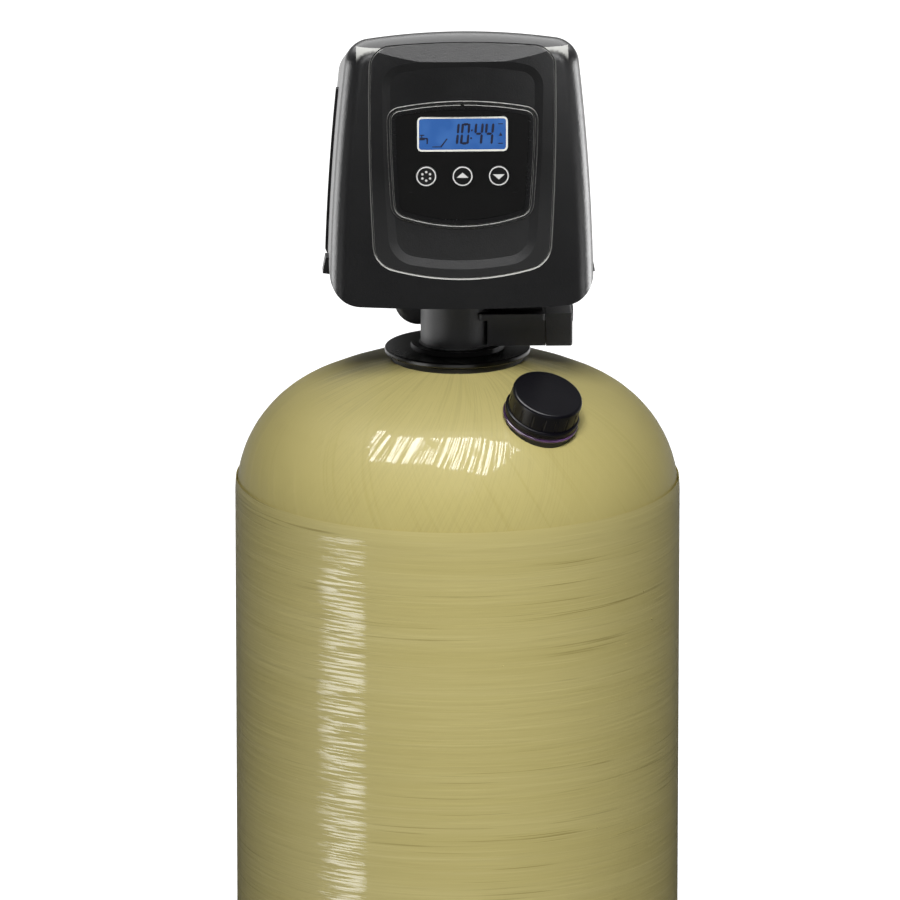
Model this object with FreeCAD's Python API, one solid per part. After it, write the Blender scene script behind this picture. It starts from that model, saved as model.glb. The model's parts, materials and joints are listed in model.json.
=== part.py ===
import FreeCAD, Part
import math
import os

os.makedirs("parts", exist_ok=True)
V = FreeCAD.Vector

# Acid neutralizer filter: a wound fibreglass tank on a round foot, filled with calcite over
# gravel, with a timed backwash valve on its neck and a screw plug in its shoulder.
# Millimetres. The origin is the centre of the foot's underside, +Z is up and the display faces -Y.

# Tank
TANK_R = 154.0            # over the hoop winding
HOOP_THICK = 0.8
HELIX_THICK = 2.2
LINER_THICK = 3.0
LAYER_GAP = 0.2           # between one layer and the next
CROWN_R = TANK_R * 245 / 154      # dome's crown, on the helical winding
KNUCKLE_R = TANK_R * 85 / 154
APEX_Z = 14.0             # lowest point of the bottom dome
EQUATOR_Z = 1226.0        # where the top dome begins
HOOP_ABOVE_FOOT = 7.0
HOOP_OVER_DOME = 12.0
HOOP_FADE = 9.0           # the hoop winding thins out over this height

# Foot
FOOT_PROUD = 4.0          # outside the hoop winding
FOOT_OVERLAP = 17.8       # above the height where the bottom dome begins
FOOT_TOE = 38.0           # width of the ring that the dome rests in
FOOT_DRAINS = 4
FOOT_DRAIN_W, FOOT_DRAIN_H = 14.0, 6.0

# Neck and its insert
NECK_BORE_R = 31.2
NECK_BOSS_R = 46.0
NECK_LAND = 4.0           # boss above the winding
NECK_FLARE_R = 64.0
NECK_FLARE_THICK = 4.0

# Water parts inside the tank
RISER_R = 13.35           # 1.05 in tube
RISER_WALL = 1.9
DIST_R = 20.0
DIST_H = 86.0
DIST_SLOTS = 16
BASKET_R = 27.5
BASKET_H = 46.0
BASKET_SLOTS = 20
SLOT_W = 1.3
GRAVEL_DEPTH = 118.0
BED_TOP_Z = 905.0
BED_HEAP = 9.0            # the bed is this much lower at the wall than at the riser
BED_GAP = 0.3

# Fill port on the shoulder
PORT_AZIMUTH = 29.3       # degrees from the front towards +X
PORT_PAST_CROWN = 39.7    # from the knuckle's centre, outward
PORT_BORE_R = 18.2
PORT_BOSS_R = 24.6
PORT_LAND = 1.6
PLUG_HEAD_R = 24.5
PLUG_HEAD_H = 14.6
PLUG_RIM_R = 26.0
PLUG_RIM_H = 4.2
PLUG_SPIGOT_R = 17.6
PLUG_SPIGOT_H = 15.0
PLUG_EDGE_R = 2.0
PLUG_GRIPS = 18
SEAL_THICK = 2.0

# Adapter, between the tank's neck and the valve
FLANGE_R = 50.3
FLANGE_H = 4.0
FLANGE_GAP = 0.3
STEP_R = 32.0
STEP_H = 3.0
SKIRT_R = 30.6
SKIRT_H = 30.0

# Valve body
BODY_R = 25.5
BODY_H = 75.6
BORE_R = 18.9
PISTON_R, PISTON_H = 12.0, 27.0
RUNNING = 0.06            # radial clearance of parts that run in one another
STROKE = 24.0
ROD_R = 3.0
SEAL_PITCH = 11.0
SEAL_H = 2.4
STACK_Z = 17.0            # first seal, above the flange
PORT_X = 26.0             # half the spacing of the inlet and outlet
BARREL_R = 17.0
BARREL_BORE_R = 13.6
BARREL_Z = 27.4
BARREL_FRONT_Y = 15.0
BARREL_BACK_Y = 96.0
DRAIN_Z = 42.6
DRAIN_BACK_Y = 52.0

# Injector housing, on the valve's right
INJ_X0, INJ_X1 = 20.0, 60.0
INJ_CAP_X = 78.6
INJ_FRONT_Y, INJ_BACK_Y = -20.0, 12.0
INJ_Z0, INJ_Z1 = 4.6, 23.4
INJ_LEDGE_H = 4.4
BLANK_Y = 19.0            # hexagon plug in the unused regenerant port

# Head shell: its outline is a shield with four curved sides. It leans back at the top so that
# the roof falls away to the rear.
HEAD_FRONT_Y = -97.0
HEAD_BACK_Y = 75.0
HEAD_BOW_R = 600.0        # the front bulges by this radius, seen from above
HEAD_HALF = 90.6
HEAD_SIDE_Z = 40.0
HEAD_SIDE_R = 1560.0
HEAD_TOP_Z = 245.5        # at the front, before its edge is rounded
HEAD_TOP_R = 455.0
HEAD_CORNER_R = 18.5
HEAD_EDGE_R = 14.0
HEAD_BOTTOM_Z = 50.6
HEAD_BOTTOM_CORNER_R = 21.0
ROOF_FALL = 15.0          # degrees
SPLIT_Y = 18.0            # the cover ends and the rear housing begins
SPLIT_GAP = 0.6
SHELL_WALL = 2.6
CHEEK_PROUD = 1.8
CHEEK_Z0, CHEEK_Z1 = 60.0, 178.0

# Front panel, display frame and label. Depths are behind the head's bowed front.
PANEL = dict(half=62.6, side_z=190.0, side_r=1650.0, top_z=236.0, top_r=460.0,
             bot_z=72.5, bot_r=185.0, r_top=14.0, r_bot=17.0)
PANEL_GAP = 0.55
PANEL_THICK = 3.0
PANEL_CREASE_Z = 222.0
PANEL_SLOPE = 72.0        # of the band above the crease, from level
PANEL_DISH = 1.6          # the panel's middle lies this much behind its border
DISH = dict(half=52.0, side_z=215.0, side_r=1500.0, top_z=222.5, top_r=215.0,
            bot_z=81.5, bot_r=200.0, r_top=13.0, r_bot=17.0)
DISH_SLOPE = 6.5          # width of the slope round the dish
PANEL_EDGE_R = 0.5
BORDER_W, BORDER_DEPTH = 2.2, 0.2   # raised border round the display frame
BORDER_EDGE_R = 0.7
SEAT_THICK = 2.7          # cover wall behind the panel
SEAT_LIP = 0.9            # chamfer round the seat
BEZEL = dict(half=48.8, side_z=193.0, side_r=860.0, top_z=193.4, top_r=215.0,
             bot_z=109.4, bot_r=128.0, r_top=7.0, r_bot=8.5)
BEZEL_GAP = 0.6
BEZEL_RIM = 3.4           # border round the label
BEZEL_DEPTH = 0.3
BEZEL_BACK = 7.0
BEZEL_EDGE_R = 0.6
LABEL_DEPTH = 1.2
LABEL_THICK = 0.5
LABEL_GAP = 0.3
LCD_HALF, LCD_Z0, LCD_Z1 = 31.0, 160.4, 185.0
LCD_CORNER_R = 3.4
LCD_MARGIN = 2.6          # glass hidden behind the label all round
KEY_PITCH = 24.7
KEY_Z = 143.6
KEY_R = 7.1
KEY_GAP = 0.35
KEY_TRAVEL = 0.5
KEY_STEM_R = 3.2
NOTCH_R = 1.6

# Power head
PLATE_Y0, PLATE_THICK = 19.4, 4.0
SHELF_Z, SHELF_THICK = 77.0, 3.2
GEAR_Z = 134.0
GEAR_TEETH, PINION_TEETH = 60, 15
MODULE = 1.0
GEAR_Y0, GEAR_Y1 = 6.0, 12.0
BACKLASH = 0.22           # taken off each flank
CRANK_R = STROKE / 2
CRANK_PIN_R = 3.0
CRANK_GAP = 0.4           # between the crank pin's end and the link
SPINDLE_R = 4.0
CAM_R = 24.0
MOTOR_ANGLE = 45.0        # of the pinion, seen from the front, from +X
MOTOR_R = 24.5
MOTOR_H = 33.0
LINK_Y0, LINK_Y1 = -6.0, -3.0
TIMER_HALF, TIMER_Z0, TIMER_Z1 = 51.0, 106.0, 201.0
TIMER_Y0, TIMER_Y1 = -86.6, -64.0
BOARD_Y = -80.0
LATCH_Y0, LATCH_Y1 = -27.0, -13.0
LATCH_Z0, LATCH_Z1 = 57.5, 70.0
LATCH_PROUD = 3.4
LATCH_GAP = 0.4

# Worked out from the values above
HELIX_R = TANK_R - HOOP_THICK - LAYER_GAP


def dome_height():
    return CROWN_R - math.sqrt((CROWN_R - KNUCKLE_R) ** 2 - (HELIX_R - KNUCKLE_R) ** 2)


LOW_EQUATOR_Z = APEX_Z + dome_height()
FOOT_R = TANK_R + FOOT_PROUD
FOOT_H = LOW_EQUATOR_Z + FOOT_OVERLAP
HOOP_BOTTOM_Z = FOOT_H + HOOP_ABOVE_FOOT
GRAVEL_TOP_Z = APEX_Z + GRAVEL_DEPTH
PORT_REACH = HELIX_R - KNUCKLE_R + PORT_PAST_CROWN     # from the tank's axis


def dome_z(r, inset=0.0):
    """Height of the dome above its equator, at a distance r from the axis."""
    crown, knuckle = CROWN_R - inset, KNUCKLE_R - inset
    join = (HELIX_R - KNUCKLE_R) * CROWN_R / (CROWN_R - KNUCKLE_R)
    if r < join * crown / CROWN_R:
        return dome_height() - CROWN_R + math.sqrt(crown ** 2 - r ** 2)
    return math.sqrt(knuckle ** 2 - (r - HELIX_R + KNUCKLE_R) ** 2)


NECK_TOP_Z = EQUATOR_Z + dome_z(NECK_BOSS_R) + NECK_LAND
FLANGE_Z = NECK_TOP_Z + FLANGE_GAP + FLANGE_H      # heights in the head count from here


# Plain solids

def tube(r_out, r_in, z0, z1, x=0.0, y=0.0):
    solid = Part.makeCylinder(r_out, z1 - z0, V(x, y, z0))
    if r_in:
        solid = solid.cut(Part.makeCylinder(r_in, z1 - z0 + 2, V(x, y, z0 - 1)))
    return solid


def bar_y(r, x, z, y0, y1):
    return Part.makeCylinder(r, y1 - y0, V(x, y0, z), V(0, 1, 0))


def bar_x(r, y, z, x0, x1):
    return Part.makeCylinder(r, x1 - x0, V(x0, y, z), V(1, 0, 0))


def block(x0, x1, y0, y1, z0, z1):
    return Part.makeBox(x1 - x0, y1 - y0, z1 - z0, V(x0, y0, z0))


def revolve(points):
    """Turn an outline of (radius, height) points about the Z axis."""
    wire = Part.makePolygon([V(r, 0, z) for r, z in points] + [V(points[0][0], 0, points[0][1])])
    return Part.Face(wire).revolve(V(0, 0, 0), V(0, 0, 1), 360)


def torus(major, minor, z):
    return Part.makeTorus(major, minor, V(0, 0, z))


def joined(first, *others):
    return first.fuse(list(others)).removeSplitter()


def less(solid, *tools):
    return solid.cut(list(tools))


def raised(shape, dz=None):
    """A copy of a head part, moved up from flange height to the tank's frame."""
    copy = shape.copy()
    copy.translate(V(0, 0, FLANGE_Z if dz is None else dz))
    return copy


def save(name, shape):
    if len(shape.Solids) == 1:
        shape = shape.Solids[0]
    elif shape.ShapeType == "Compound":
        shape = Part.makeCompound(shape.Solids)
    if not shape.isValid():
        print("not valid:", name)
    shape.exportStep("parts/" + name + ".step")


# Tank layers

def vessel(inset):
    """The tank's closed form, inset from the outside of the helical winding."""
    crown, knuckle = CROWN_R - inset, KNUCKLE_R - inset
    r_side, r_knuckle = HELIX_R - inset, HELIX_R - KNUCKLE_R
    join = math.asin(r_knuckle / (CROWN_R - KNUCKLE_R))
    half_join = (math.pi / 2 + join) / 2

    def meridian(z_eq, up):
        apex_z = dome_height() - CROWN_R
        crown_at = lambda a: V(crown * math.sin(a), 0, z_eq + up * (apex_z + crown * math.cos(a)))
        knuckle_at = lambda a: V(r_knuckle + knuckle * math.sin(a), 0,
                                 z_eq + up * knuckle * math.cos(a))
        return (Part.Arc(crown_at(0), crown_at(join / 2), crown_at(join)).toShape(),
                Part.Arc(knuckle_at(join), knuckle_at(half_join),
                         knuckle_at(math.pi / 2)).toShape())

    top, bottom = meridian(EQUATOR_Z, 1), meridian(LOW_EQUATOR_Z, -1)
    apexes = [V(0, 0, EQUATOR_Z + dome_height() - inset), V(0, 0, APEX_Z + inset)]
    edges = [bottom[0], bottom[1],
             Part.makeLine(V(r_side, 0, LOW_EQUATOR_Z), V(r_side, 0, EQUATOR_Z)),
             top[1], top[0], Part.makeLine(apexes[0], apexes[1])]
    return Part.Face(Part.Wire(Part.__sortEdges__(edges))).revolve(V(0, 0, 0), V(0, 0, 1), 360)


def port_frame():
    """Centre of the fill port on the winding, and its outward direction."""
    a = math.radians(PORT_AZIMUTH)
    out = PORT_REACH - (HELIX_R - KNUCKLE_R)
    tilt = math.asin(out / KNUCKLE_R)
    centre = V(PORT_REACH * math.sin(a), -PORT_REACH * math.cos(a),
               EQUATOR_Z + KNUCKLE_R * math.cos(tilt))
    axis = V(math.sin(tilt) * math.sin(a), -math.sin(tilt) * math.cos(a), math.cos(tilt))
    return centre, axis


PORT_C, PORT_N = port_frame()


def on_port(r_out, r_in, h0, h1):
    """A ring on the fill port's axis between two heights above the winding."""
    solid = Part.makeCylinder(r_out, h1 - h0, PORT_C + PORT_N * h0, PORT_N)
    if r_in:
        solid = solid.cut(Part.makeCylinder(r_in, h1 - h0 + 2, PORT_C + PORT_N * (h0 - 1), PORT_N))
    return solid


def tank_layer(outer, inner):
    wall = vessel(outer).cut(vessel(inner))
    neck_hole = Part.makeCylinder(NECK_BOSS_R + LAYER_GAP, 200, V(0, 0, EQUATOR_Z))
    port_hole = on_port(PORT_BOSS_R + LAYER_GAP, 0, -40, 40)
    return less(wall, neck_hole, port_hole)


def hoop_winding():
    r_in, r_out = TANK_R - HOOP_THICK, TANK_R
    top = EQUATOR_Z + HOOP_OVER_DOME
    return revolve([(r_in, HOOP_BOTTOM_Z), (r_in + 0.2, HOOP_BOTTOM_Z),
                    (r_out, HOOP_BOTTOM_Z + HOOP_FADE), (r_out, top - HOOP_FADE),
                    (r_in + 0.2, top), (r_in, top)])


def tank_base():
    """A moulded ring that the bottom dome stands in, with channels that let spilt water out."""
    toe_r = FOOT_R - FOOT_TOE
    ring = revolve([(toe_r, 0), (FOOT_R - 3, 0), (FOOT_R, 4), (FOOT_R, 12),
                    (FOOT_R - 1.5, FOOT_H - 3), (FOOT_R - 2.5, FOOT_H),
                    (HELIX_R + 0.8, FOOT_H), (HELIX_R + 0.8, LOW_EQUATOR_Z),
                    (toe_r, LOW_EQUATOR_Z)])
    drain = block(toe_r - 5, FOOT_R + 5, -FOOT_DRAIN_W / 2, FOOT_DRAIN_W / 2, -1, FOOT_DRAIN_H)
    drains = [drain.rotated(V(0, 0, 0), V(0, 0, 1), 45 + i * 360 / FOOT_DRAINS)
              for i in range(FOOT_DRAINS)]
    return less(ring, vessel(-0.3), *drains)


def neck_insert():
    collar = tube(NECK_BOSS_R, NECK_BORE_R, EQUATOR_Z + 58, NECK_TOP_Z)
    flare_out = HELIX_THICK + LAYER_GAP + LINER_THICK + LAYER_GAP
    flare = vessel(flare_out).cut(vessel(flare_out + NECK_FLARE_THICK))
    flare = flare.common(tube(NECK_FLARE_R, NECK_BORE_R, EQUATOR_Z + 40, EQUATOR_Z + 120))
    insert = joined(collar, flare)
    top_edges = [e for e in insert.Edges
                 if e.Vertexes and abs(e.BoundBox.ZMin - NECK_TOP_Z) < 1e-6
                 and abs(e.BoundBox.ZMax - NECK_TOP_Z) < 1e-6 and e.BoundBox.XLength > 80]
    return insert.makeChamfer(1.0, top_edges)


def fill_port_insert():
    collar = on_port(PORT_BOSS_R, PORT_BORE_R, -22, PORT_LAND)
    inside = HELIX_THICK + LAYER_GAP + LINER_THICK + LAYER_GAP
    flare = vessel(inside).cut(vessel(inside + 3.0)).common(on_port(34, PORT_BORE_R, -26, 10))
    return joined(collar, flare)


# Inside the tank

def riser_tube():
    return tube(RISER_R, RISER_R - RISER_WALL, APEX_Z + 56, FLANGE_Z + 10)


def slots(count, r, z0, z1):
    """Tall thin tools, evenly round the axis, that cut slots through a basket's wall."""
    tool = block(r - 6, r + 6, -SLOT_W / 2, SLOT_W / 2, z0, z1)
    return [tool.rotated(V(0, 0, 0), V(0, 0, 1), i * 360 / count) for i in range(count)]


def lower_distributor():
    z0 = APEX_Z + 10
    wall = 2.2
    shell = revolve([(0, z0), (DIST_R - 4, z0), (DIST_R, z0 + 4), (DIST_R, z0 + DIST_H - 26),
                     (RISER_R + 3, z0 + DIST_H - 10), (RISER_R + 3, z0 + DIST_H),
                     (RISER_R + 0.1, z0 + DIST_H), (RISER_R + 0.1, z0 + DIST_H - 42),
                     (DIST_R - wall, z0 + DIST_H - 42), (DIST_R - wall, z0 + 5), (0, z0 + 5)])
    return less(shell, *slots(DIST_SLOTS, DIST_R, z0 + 8, z0 + DIST_H - 46))


def upper_basket():
    top = FLANGE_Z - SKIRT_H + 6
    z0 = top - BASKET_H
    collar_r = SKIRT_R - 6.8
    shell = revolve([(RISER_R + 0.4, z0), (BASKET_R - 3, z0), (BASKET_R, z0 + 3),
                     (BASKET_R, top - 12), (collar_r, top - 9), (collar_r, top),
                     (collar_r - 2, top), (collar_r - 2, top - 10), (BASKET_R - 2, top - 14),
                     (BASKET_R - 2, z0 + 3), (RISER_R + 0.4, z0 + 3)])
    return less(shell, *slots(BASKET_SLOTS, BASKET_R, z0 + 6, top - 17))


def bed_form():
    return vessel(HELIX_THICK + LINER_THICK + 2 * LAYER_GAP + BED_GAP)


def gravel_bed():
    z0 = APEX_Z + 10 - BED_GAP
    hole = revolve([(0, z0), (DIST_R + BED_GAP, z0), (DIST_R + BED_GAP, GRAVEL_TOP_Z + 5),
                    (0, GRAVEL_TOP_Z + 5)])
    return bed_form().common(tube(TANK_R, 0, 0, GRAVEL_TOP_Z)).cut(hole)


def calcite_bed():
    form = revolve([(RISER_R + BED_GAP, GRAVEL_TOP_Z + BED_GAP), (TANK_R, GRAVEL_TOP_Z + BED_GAP),
                    (TANK_R, BED_TOP_Z - BED_HEAP), (TANK_R * 0.6, BED_TOP_Z - BED_HEAP * 0.6),
                    (RISER_R + BED_GAP, BED_TOP_Z)])
    return bed_form().common(form)


# Fill plug

def fill_seal():
    h0 = PORT_LAND + 0.05
    ring = on_port(PLUG_RIM_R + 0.5, PLUG_SPIGOT_R + 0.6, h0, h0 + SEAL_THICK)
    return ring.makeFillet(0.9, outer_edges(ring, PLUG_RIM_R + 0.5))


def outer_edges(shape, r):
    return [e for e in shape.Edges
            if hasattr(e.Curve, "Radius") and abs(e.Curve.Radius - r) < 1e-6]


def plug_washer():
    h0 = PORT_LAND + SEAL_THICK + 0.35
    return on_port(PLUG_RIM_R - 0.6, PLUG_SPIGOT_R + 0.6, h0, h0 + 1.0)


def fill_plug():
    h0 = PORT_LAND + SEAL_THICK + 1.65
    rim = on_port(PLUG_RIM_R, 0, h0, h0 + PLUG_RIM_H)
    rim = rim.makeFillet(1.4, outer_edges(rim, PLUG_RIM_R))
    head = on_port(PLUG_HEAD_R, 0, h0 + PLUG_RIM_H - 1, h0 + PLUG_RIM_H + PLUG_HEAD_H)
    top = [e for e in outer_edges(head, PLUG_HEAD_R)
           if (e.CenterOfMass - PORT_C).dot(PORT_N) > h0 + PLUG_RIM_H]
    head = head.makeFillet(PLUG_EDGE_R, top)
    spigot = on_port(PLUG_SPIGOT_R, PLUG_SPIGOT_R - 4, h0 - PLUG_SPIGOT_H - 4, h0 + 1)
    plug = joined(rim, head, spigot)
    side = PORT_N.cross(V(0, 0, 1)).normalize()
    grip = Part.makeCylinder(1.5, PLUG_HEAD_H - 4.5,
                             PORT_C + side * (PLUG_HEAD_R + 1.1) + PORT_N * (h0 + PLUG_RIM_H + 0.4),
                             PORT_N)
    grips = [grip.rotated(PORT_C, PORT_N, i * 360 / PLUG_GRIPS) for i in range(PLUG_GRIPS)]
    return less(plug, *grips)


# Adapter and valve body. From here on heights are above the flange.

def tank_adapter():
    flange = tube(FLANGE_R, 0, -FLANGE_H, 0)
    flange = flange.makeFillet(1.2, outer_edges(flange, FLANGE_R))
    step = Part.makeCone(STEP_R + 1, STEP_R, STEP_H, V(0, 0, -0.01))
    skirt = tube(SKIRT_R, 0, -SKIRT_H, -1)
    web = less(joined(flange, step, skirt),
               tube(SKIRT_R - 6.4, 18, -SKIRT_H - 1, -6),
               tube(16.2, 0, -SKIRT_H - 1, -6),
               tube(RISER_R + 0.25, 0, -10, STEP_H + 1),
               tube(18.5, 0, -SKIRT_H - 1, -16),
               less(tube(40.2, 35.8, -FLANGE_H - 1, -1.2)))
    ports = [tube(2.6, 0, -8, STEP_H + 1).translated(
        V(20.6 * math.cos(a), 20.6 * math.sin(a), 0))
        for a in [math.radians(i * 30) for i in range(12)]]
    return less(web, *ports)


def riser_oring():
    return torus((RISER_R + 16.2) / 2, 1.35, -8.2)


def oring_retainer():
    return tube(16.1, RISER_R + 0.3, -14, -9.8)


def tank_oring():
    return torus(38.0, 1.3, -2.65)


def barrel(side):
    x = side * PORT_X
    outer = bar_y(BARREL_R, x, BARREL_Z, BARREL_FRONT_Y, BARREL_BACK_Y)
    front = [e for e in outer_edges(outer, BARREL_R) if e.BoundBox.YMax < BARREL_FRONT_Y + 1]
    outer = outer.makeFillet(5.0, front)
    collar = bar_y(BARREL_R + 2, x, BARREL_Z, BARREL_BACK_Y - 12, BARREL_BACK_Y - 8)
    return [outer, collar]


def valve_body():
    z0 = STEP_H + 0.2
    neck = tube(BODY_R, 0, z0, BODY_H)
    foot_ring = Part.makeCone(BODY_R + 1.2, BODY_R, 1.2, V(0, 0, z0))
    top_flange = tube(BODY_R + 4, 0, BODY_H - 5, BODY_H)
    screw_ears = [tube(6.5, 0, BODY_H - 14, BODY_H, x, 0) for x in (-31.0, 31.0)]
    drain = bar_y(9.2, 0, DRAIN_Z, 15, DRAIN_BACK_Y)
    injector_face = block(10, INJ_X0 - 0.2, -15, 12, INJ_Z0 + 1, INJ_Z1 + 8)
    body = joined(neck, foot_ring, top_flange, drain, injector_face, *screw_ears,
                  *(barrel(-1) + barrel(1)))
    cuts = [tube(BORE_R, 0, STACK_Z - 1, BODY_H + 1), tube(9, 0, 0, STACK_Z),
            tube(RISER_R + 0.25, 0, 0, 12), tube(23, 17, 0, 9),
            bar_y(6.2, 0, DRAIN_Z, 15, DRAIN_BACK_Y + 1)]
    for x in (-PORT_X, PORT_X):
        cuts.append(bar_y(BARREL_BORE_R, x, BARREL_Z, 34, BARREL_BACK_Y + 1))
        cuts.append(Part.makeCylinder(6, 32, V(x * 0.9, 38, BARREL_Z), V(-x * 0.8, -26, 0)))
    cuts += [tube(1.7, 0, BODY_H - 13, BODY_H + 1, x, 0) for x in (-31.0, 31.0)]
    return less(body, *cuts)


def valve_seals():
    rings = [tube(BORE_R - 0.1, PISTON_R + RUNNING, STACK_Z + i * SEAL_PITCH,
                  STACK_Z + i * SEAL_PITCH + SEAL_H) for i in range(5)]
    return Part.makeCompound(rings)


def seal_spacers():
    cages = []
    for i in range(4):
        z0 = STACK_Z + i * SEAL_PITCH + SEAL_H + 0.1
        z1 = STACK_Z + (i + 1) * SEAL_PITCH - 0.1
        windows = [block(10, 25, -3, 3, z0 + 2, z1 - 2).rotated(V(0, 0, 0), V(0, 0, 1), k * 60)
                   for k in range(6)]
        cages.append(less(tube(BORE_R - 0.1, PISTON_R + 1.2, z0, z1), *windows))
    return Part.makeCompound(cages)


def end_plug():
    z0 = STACK_Z + 4 * SEAL_PITCH + SEAL_H + 0.2
    stem = tube(BORE_R - 0.15, 0, z0, BODY_H + 0.2)
    head = tube(BORE_R + 2.6, 0, BODY_H + 0.2, BODY_H + 1.3)
    hub = tube(8, 0, BODY_H, SHELF_Z + SHELF_THICK - 0.4)
    room_top = STACK_Z + 1 + PISTON_H + STROKE + 0.6
    hollow = tube(BORE_R - 3, 7, room_top + 2.5, BODY_H)
    plug = joined(less(stem, hollow), head, hub)
    return less(plug, tube(PISTON_R + 0.3, 0, z0 - 1, room_top),
                tube(ROD_R + RUNNING, 0, z0 - 1, SHELF_Z + SHELF_THICK + 1))


def piston():
    z0 = STACK_Z + 1
    z1 = z0 + PISTON_H
    spool = tube(PISTON_R, 0, z0, z1)
    waist = tube(PISTON_R + 1, PISTON_R - 4, z0 + 8, z0 + 19)
    return less(spool, waist, tube(PISTON_R - 5, 0, z0 - 1, z0 + 5),
                tube(ROD_R + 0.02, 0, z1 - 9, z1 + 1))


PISTON_TOP = STACK_Z + 1 + PISTON_H
LINK_FOOT_Z = SHELF_Z + SHELF_THICK + 0.8


def piston_rod():
    rod = tube(ROD_R, 0, PISTON_TOP - 8.9, LINK_FOOT_Z + 12)
    return rod.cut(tube(ROD_R + 1, ROD_R - 0.5, PISTON_TOP - 5, PISTON_TOP - 3.5))


def piston_link():
    top = GEAR_Z - CRANK_R
    socket = block(-6, 6, LINK_Y0, 6, LINK_FOOT_Z, LINK_FOOT_Z + 13)
    strap = block(-6, 6, LINK_Y0, LINK_Y1, LINK_FOOT_Z, top)
    eye = bar_y(6.8, 0, top, LINK_Y0, LINK_Y1)
    link = joined(socket, strap, eye)
    return less(link, tube(ROD_R + 0.05, 0, LINK_FOOT_Z - 1, LINK_FOOT_Z + 12.2),
                bar_y(CRANK_PIN_R + 0.4, 0, top, LINK_Y0 - 1, LINK_Y1 + 1),
                bar_x(1.0, 0, LINK_FOOT_Z + 8, -7, 7))


# Injector housing and drain

def rounded_block(x0, x1, y0, y1, z0, z1, r):
    solid = block(x0, x1, y0, y1, z0, z1)
    upright = [e for e in solid.Edges if e.BoundBox.ZLength > (z1 - z0) * 0.99
               and e.BoundBox.XLength < 1e-6 and e.BoundBox.YLength < 1e-6]
    return solid.makeFillet(r, upright)


def injector_body():
    main = block(INJ_X0, INJ_X1, INJ_FRONT_Y, INJ_BACK_Y, INJ_Z0, INJ_Z1)
    ledge = rounded_block(INJ_X0 - 6.5, INJ_X1, INJ_FRONT_Y - 3.5, INJ_BACK_Y,
                          INJ_Z1 - 0.01, INJ_Z1 + INJ_LEDGE_H, 3.0)
    lid = block(30, INJ_X1 - 2, INJ_FRONT_Y + 5, INJ_BACK_Y, INJ_Z1 + 1, INJ_Z1 + 13)
    rear = block(45, INJ_X1, 0, BLANK_Y + 7, INJ_Z0 + 2, INJ_Z1)
    housing = joined(main, ledge, lid, rear)
    room = tube(BODY_R + 0.4, 0, 0, 60)
    return less(housing, room, block(-60, INJ_X0, -16, 40, 0, 60), block(0, 45, 11.9, 60, 0, 60),
                bar_x(6, -4, 14, 30, INJ_X1 + 1), bar_x(3.2, BLANK_Y, 18, 50, INJ_X1 + 1))


def injector_cap():
    cap = block(INJ_X1 + 0.3, INJ_CAP_X, INJ_FRONT_Y - 1, INJ_BACK_Y,
                INJ_Z0, INJ_Z1 + INJ_LEDGE_H)
    edges = [e for e in cap.Edges if e.BoundBox.XMin > INJ_CAP_X - 1e-6]
    cap = cap.makeFillet(1.6, edges)
    pocket = [bar_x(4.0, y, 14.0, INJ_CAP_X - 4, INJ_CAP_X + 1) for y in (-14.5, 6.5)]
    hole = [bar_x(1.8, y, 14.0, INJ_X1, INJ_CAP_X) for y in (-14.5, 6.5)]
    return less(cap, *pocket, *hole)


def injector_screws():
    screws = []
    for y in (-14.5, 6.5):
        shank = bar_x(1.7, y, 14.0, INJ_X1 + 1.0, INJ_CAP_X - 3.9)
        head = bar_x(3.4, y, 14.0, INJ_CAP_X - 3.9, INJ_CAP_X - 1.2)
        slot = block(INJ_CAP_X - 2.2, INJ_CAP_X, y - 4, y + 4, 13.6, 14.4)
        screws.append(joined(shank, head).cut(slot))
    return Part.makeCompound(screws)


def blank_plug():
    shank = bar_x(3.1, BLANK_Y, 18, 52, INJ_X1 + 0.5)
    hexagon = Part.Face(Part.makePolygon(
        [V(INJ_X1 + 0.4, BLANK_Y + 6 * math.cos(math.radians(a)), 18 + 6 * math.sin(math.radians(a)))
         for a in range(0, 361, 60)])).extrude(V(20.2, 0, 0))
    return joined(shank, hexagon)


def drain_fitting():
    y0 = DRAIN_BACK_Y - 12
    stem = bar_y(6.1, 0, DRAIN_Z, y0, DRAIN_BACK_Y + 1)
    collar = bar_y(9.2, 0, DRAIN_Z, DRAIN_BACK_Y + 0.3, DRAIN_BACK_Y + 6)
    elbow = Part.makeSphere(7.5, V(0, DRAIN_BACK_Y + 12, DRAIN_Z))
    arm = bar_y(7.0, 0, DRAIN_Z, DRAIN_BACK_Y + 5, DRAIN_BACK_Y + 12)
    spout = bar_y(6.35, 0, DRAIN_Z, DRAIN_BACK_Y + 12, DRAIN_BACK_Y + 44)
    fitting = joined(stem, collar, arm, elbow, spout)
    return less(fitting, bar_y(4.2, 0, DRAIN_Z, y0 + 6, DRAIN_BACK_Y + 50),
                bar_y(5.2, 0, DRAIN_Z, y0 - 1, y0 + 6))


def drain_washer():
    y0 = DRAIN_BACK_Y - 12
    washer = bar_y(5.1, 0, DRAIN_Z, y0 + 0.6, y0 + 4.6)
    return washer.cut(bar_y(1.6, 0, DRAIN_Z, y0, y0 + 6))


def drain_clip():
    y0 = DRAIN_BACK_Y - 5
    bow = bar_y(11.4, 0, DRAIN_Z, y0, y0 + 2.4).cut(bar_y(9.4, 0, DRAIN_Z, y0 - 1, y0 + 4))
    bow = bow.cut(block(-7, 7, y0 - 1, y0 + 4, DRAIN_Z - 20, DRAIN_Z))
    tab = block(-5, 5, y0, y0 + 2.4, DRAIN_Z + 9.6, DRAIN_Z + 13.6)
    return joined(bow, tab)


# Head shell

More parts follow.
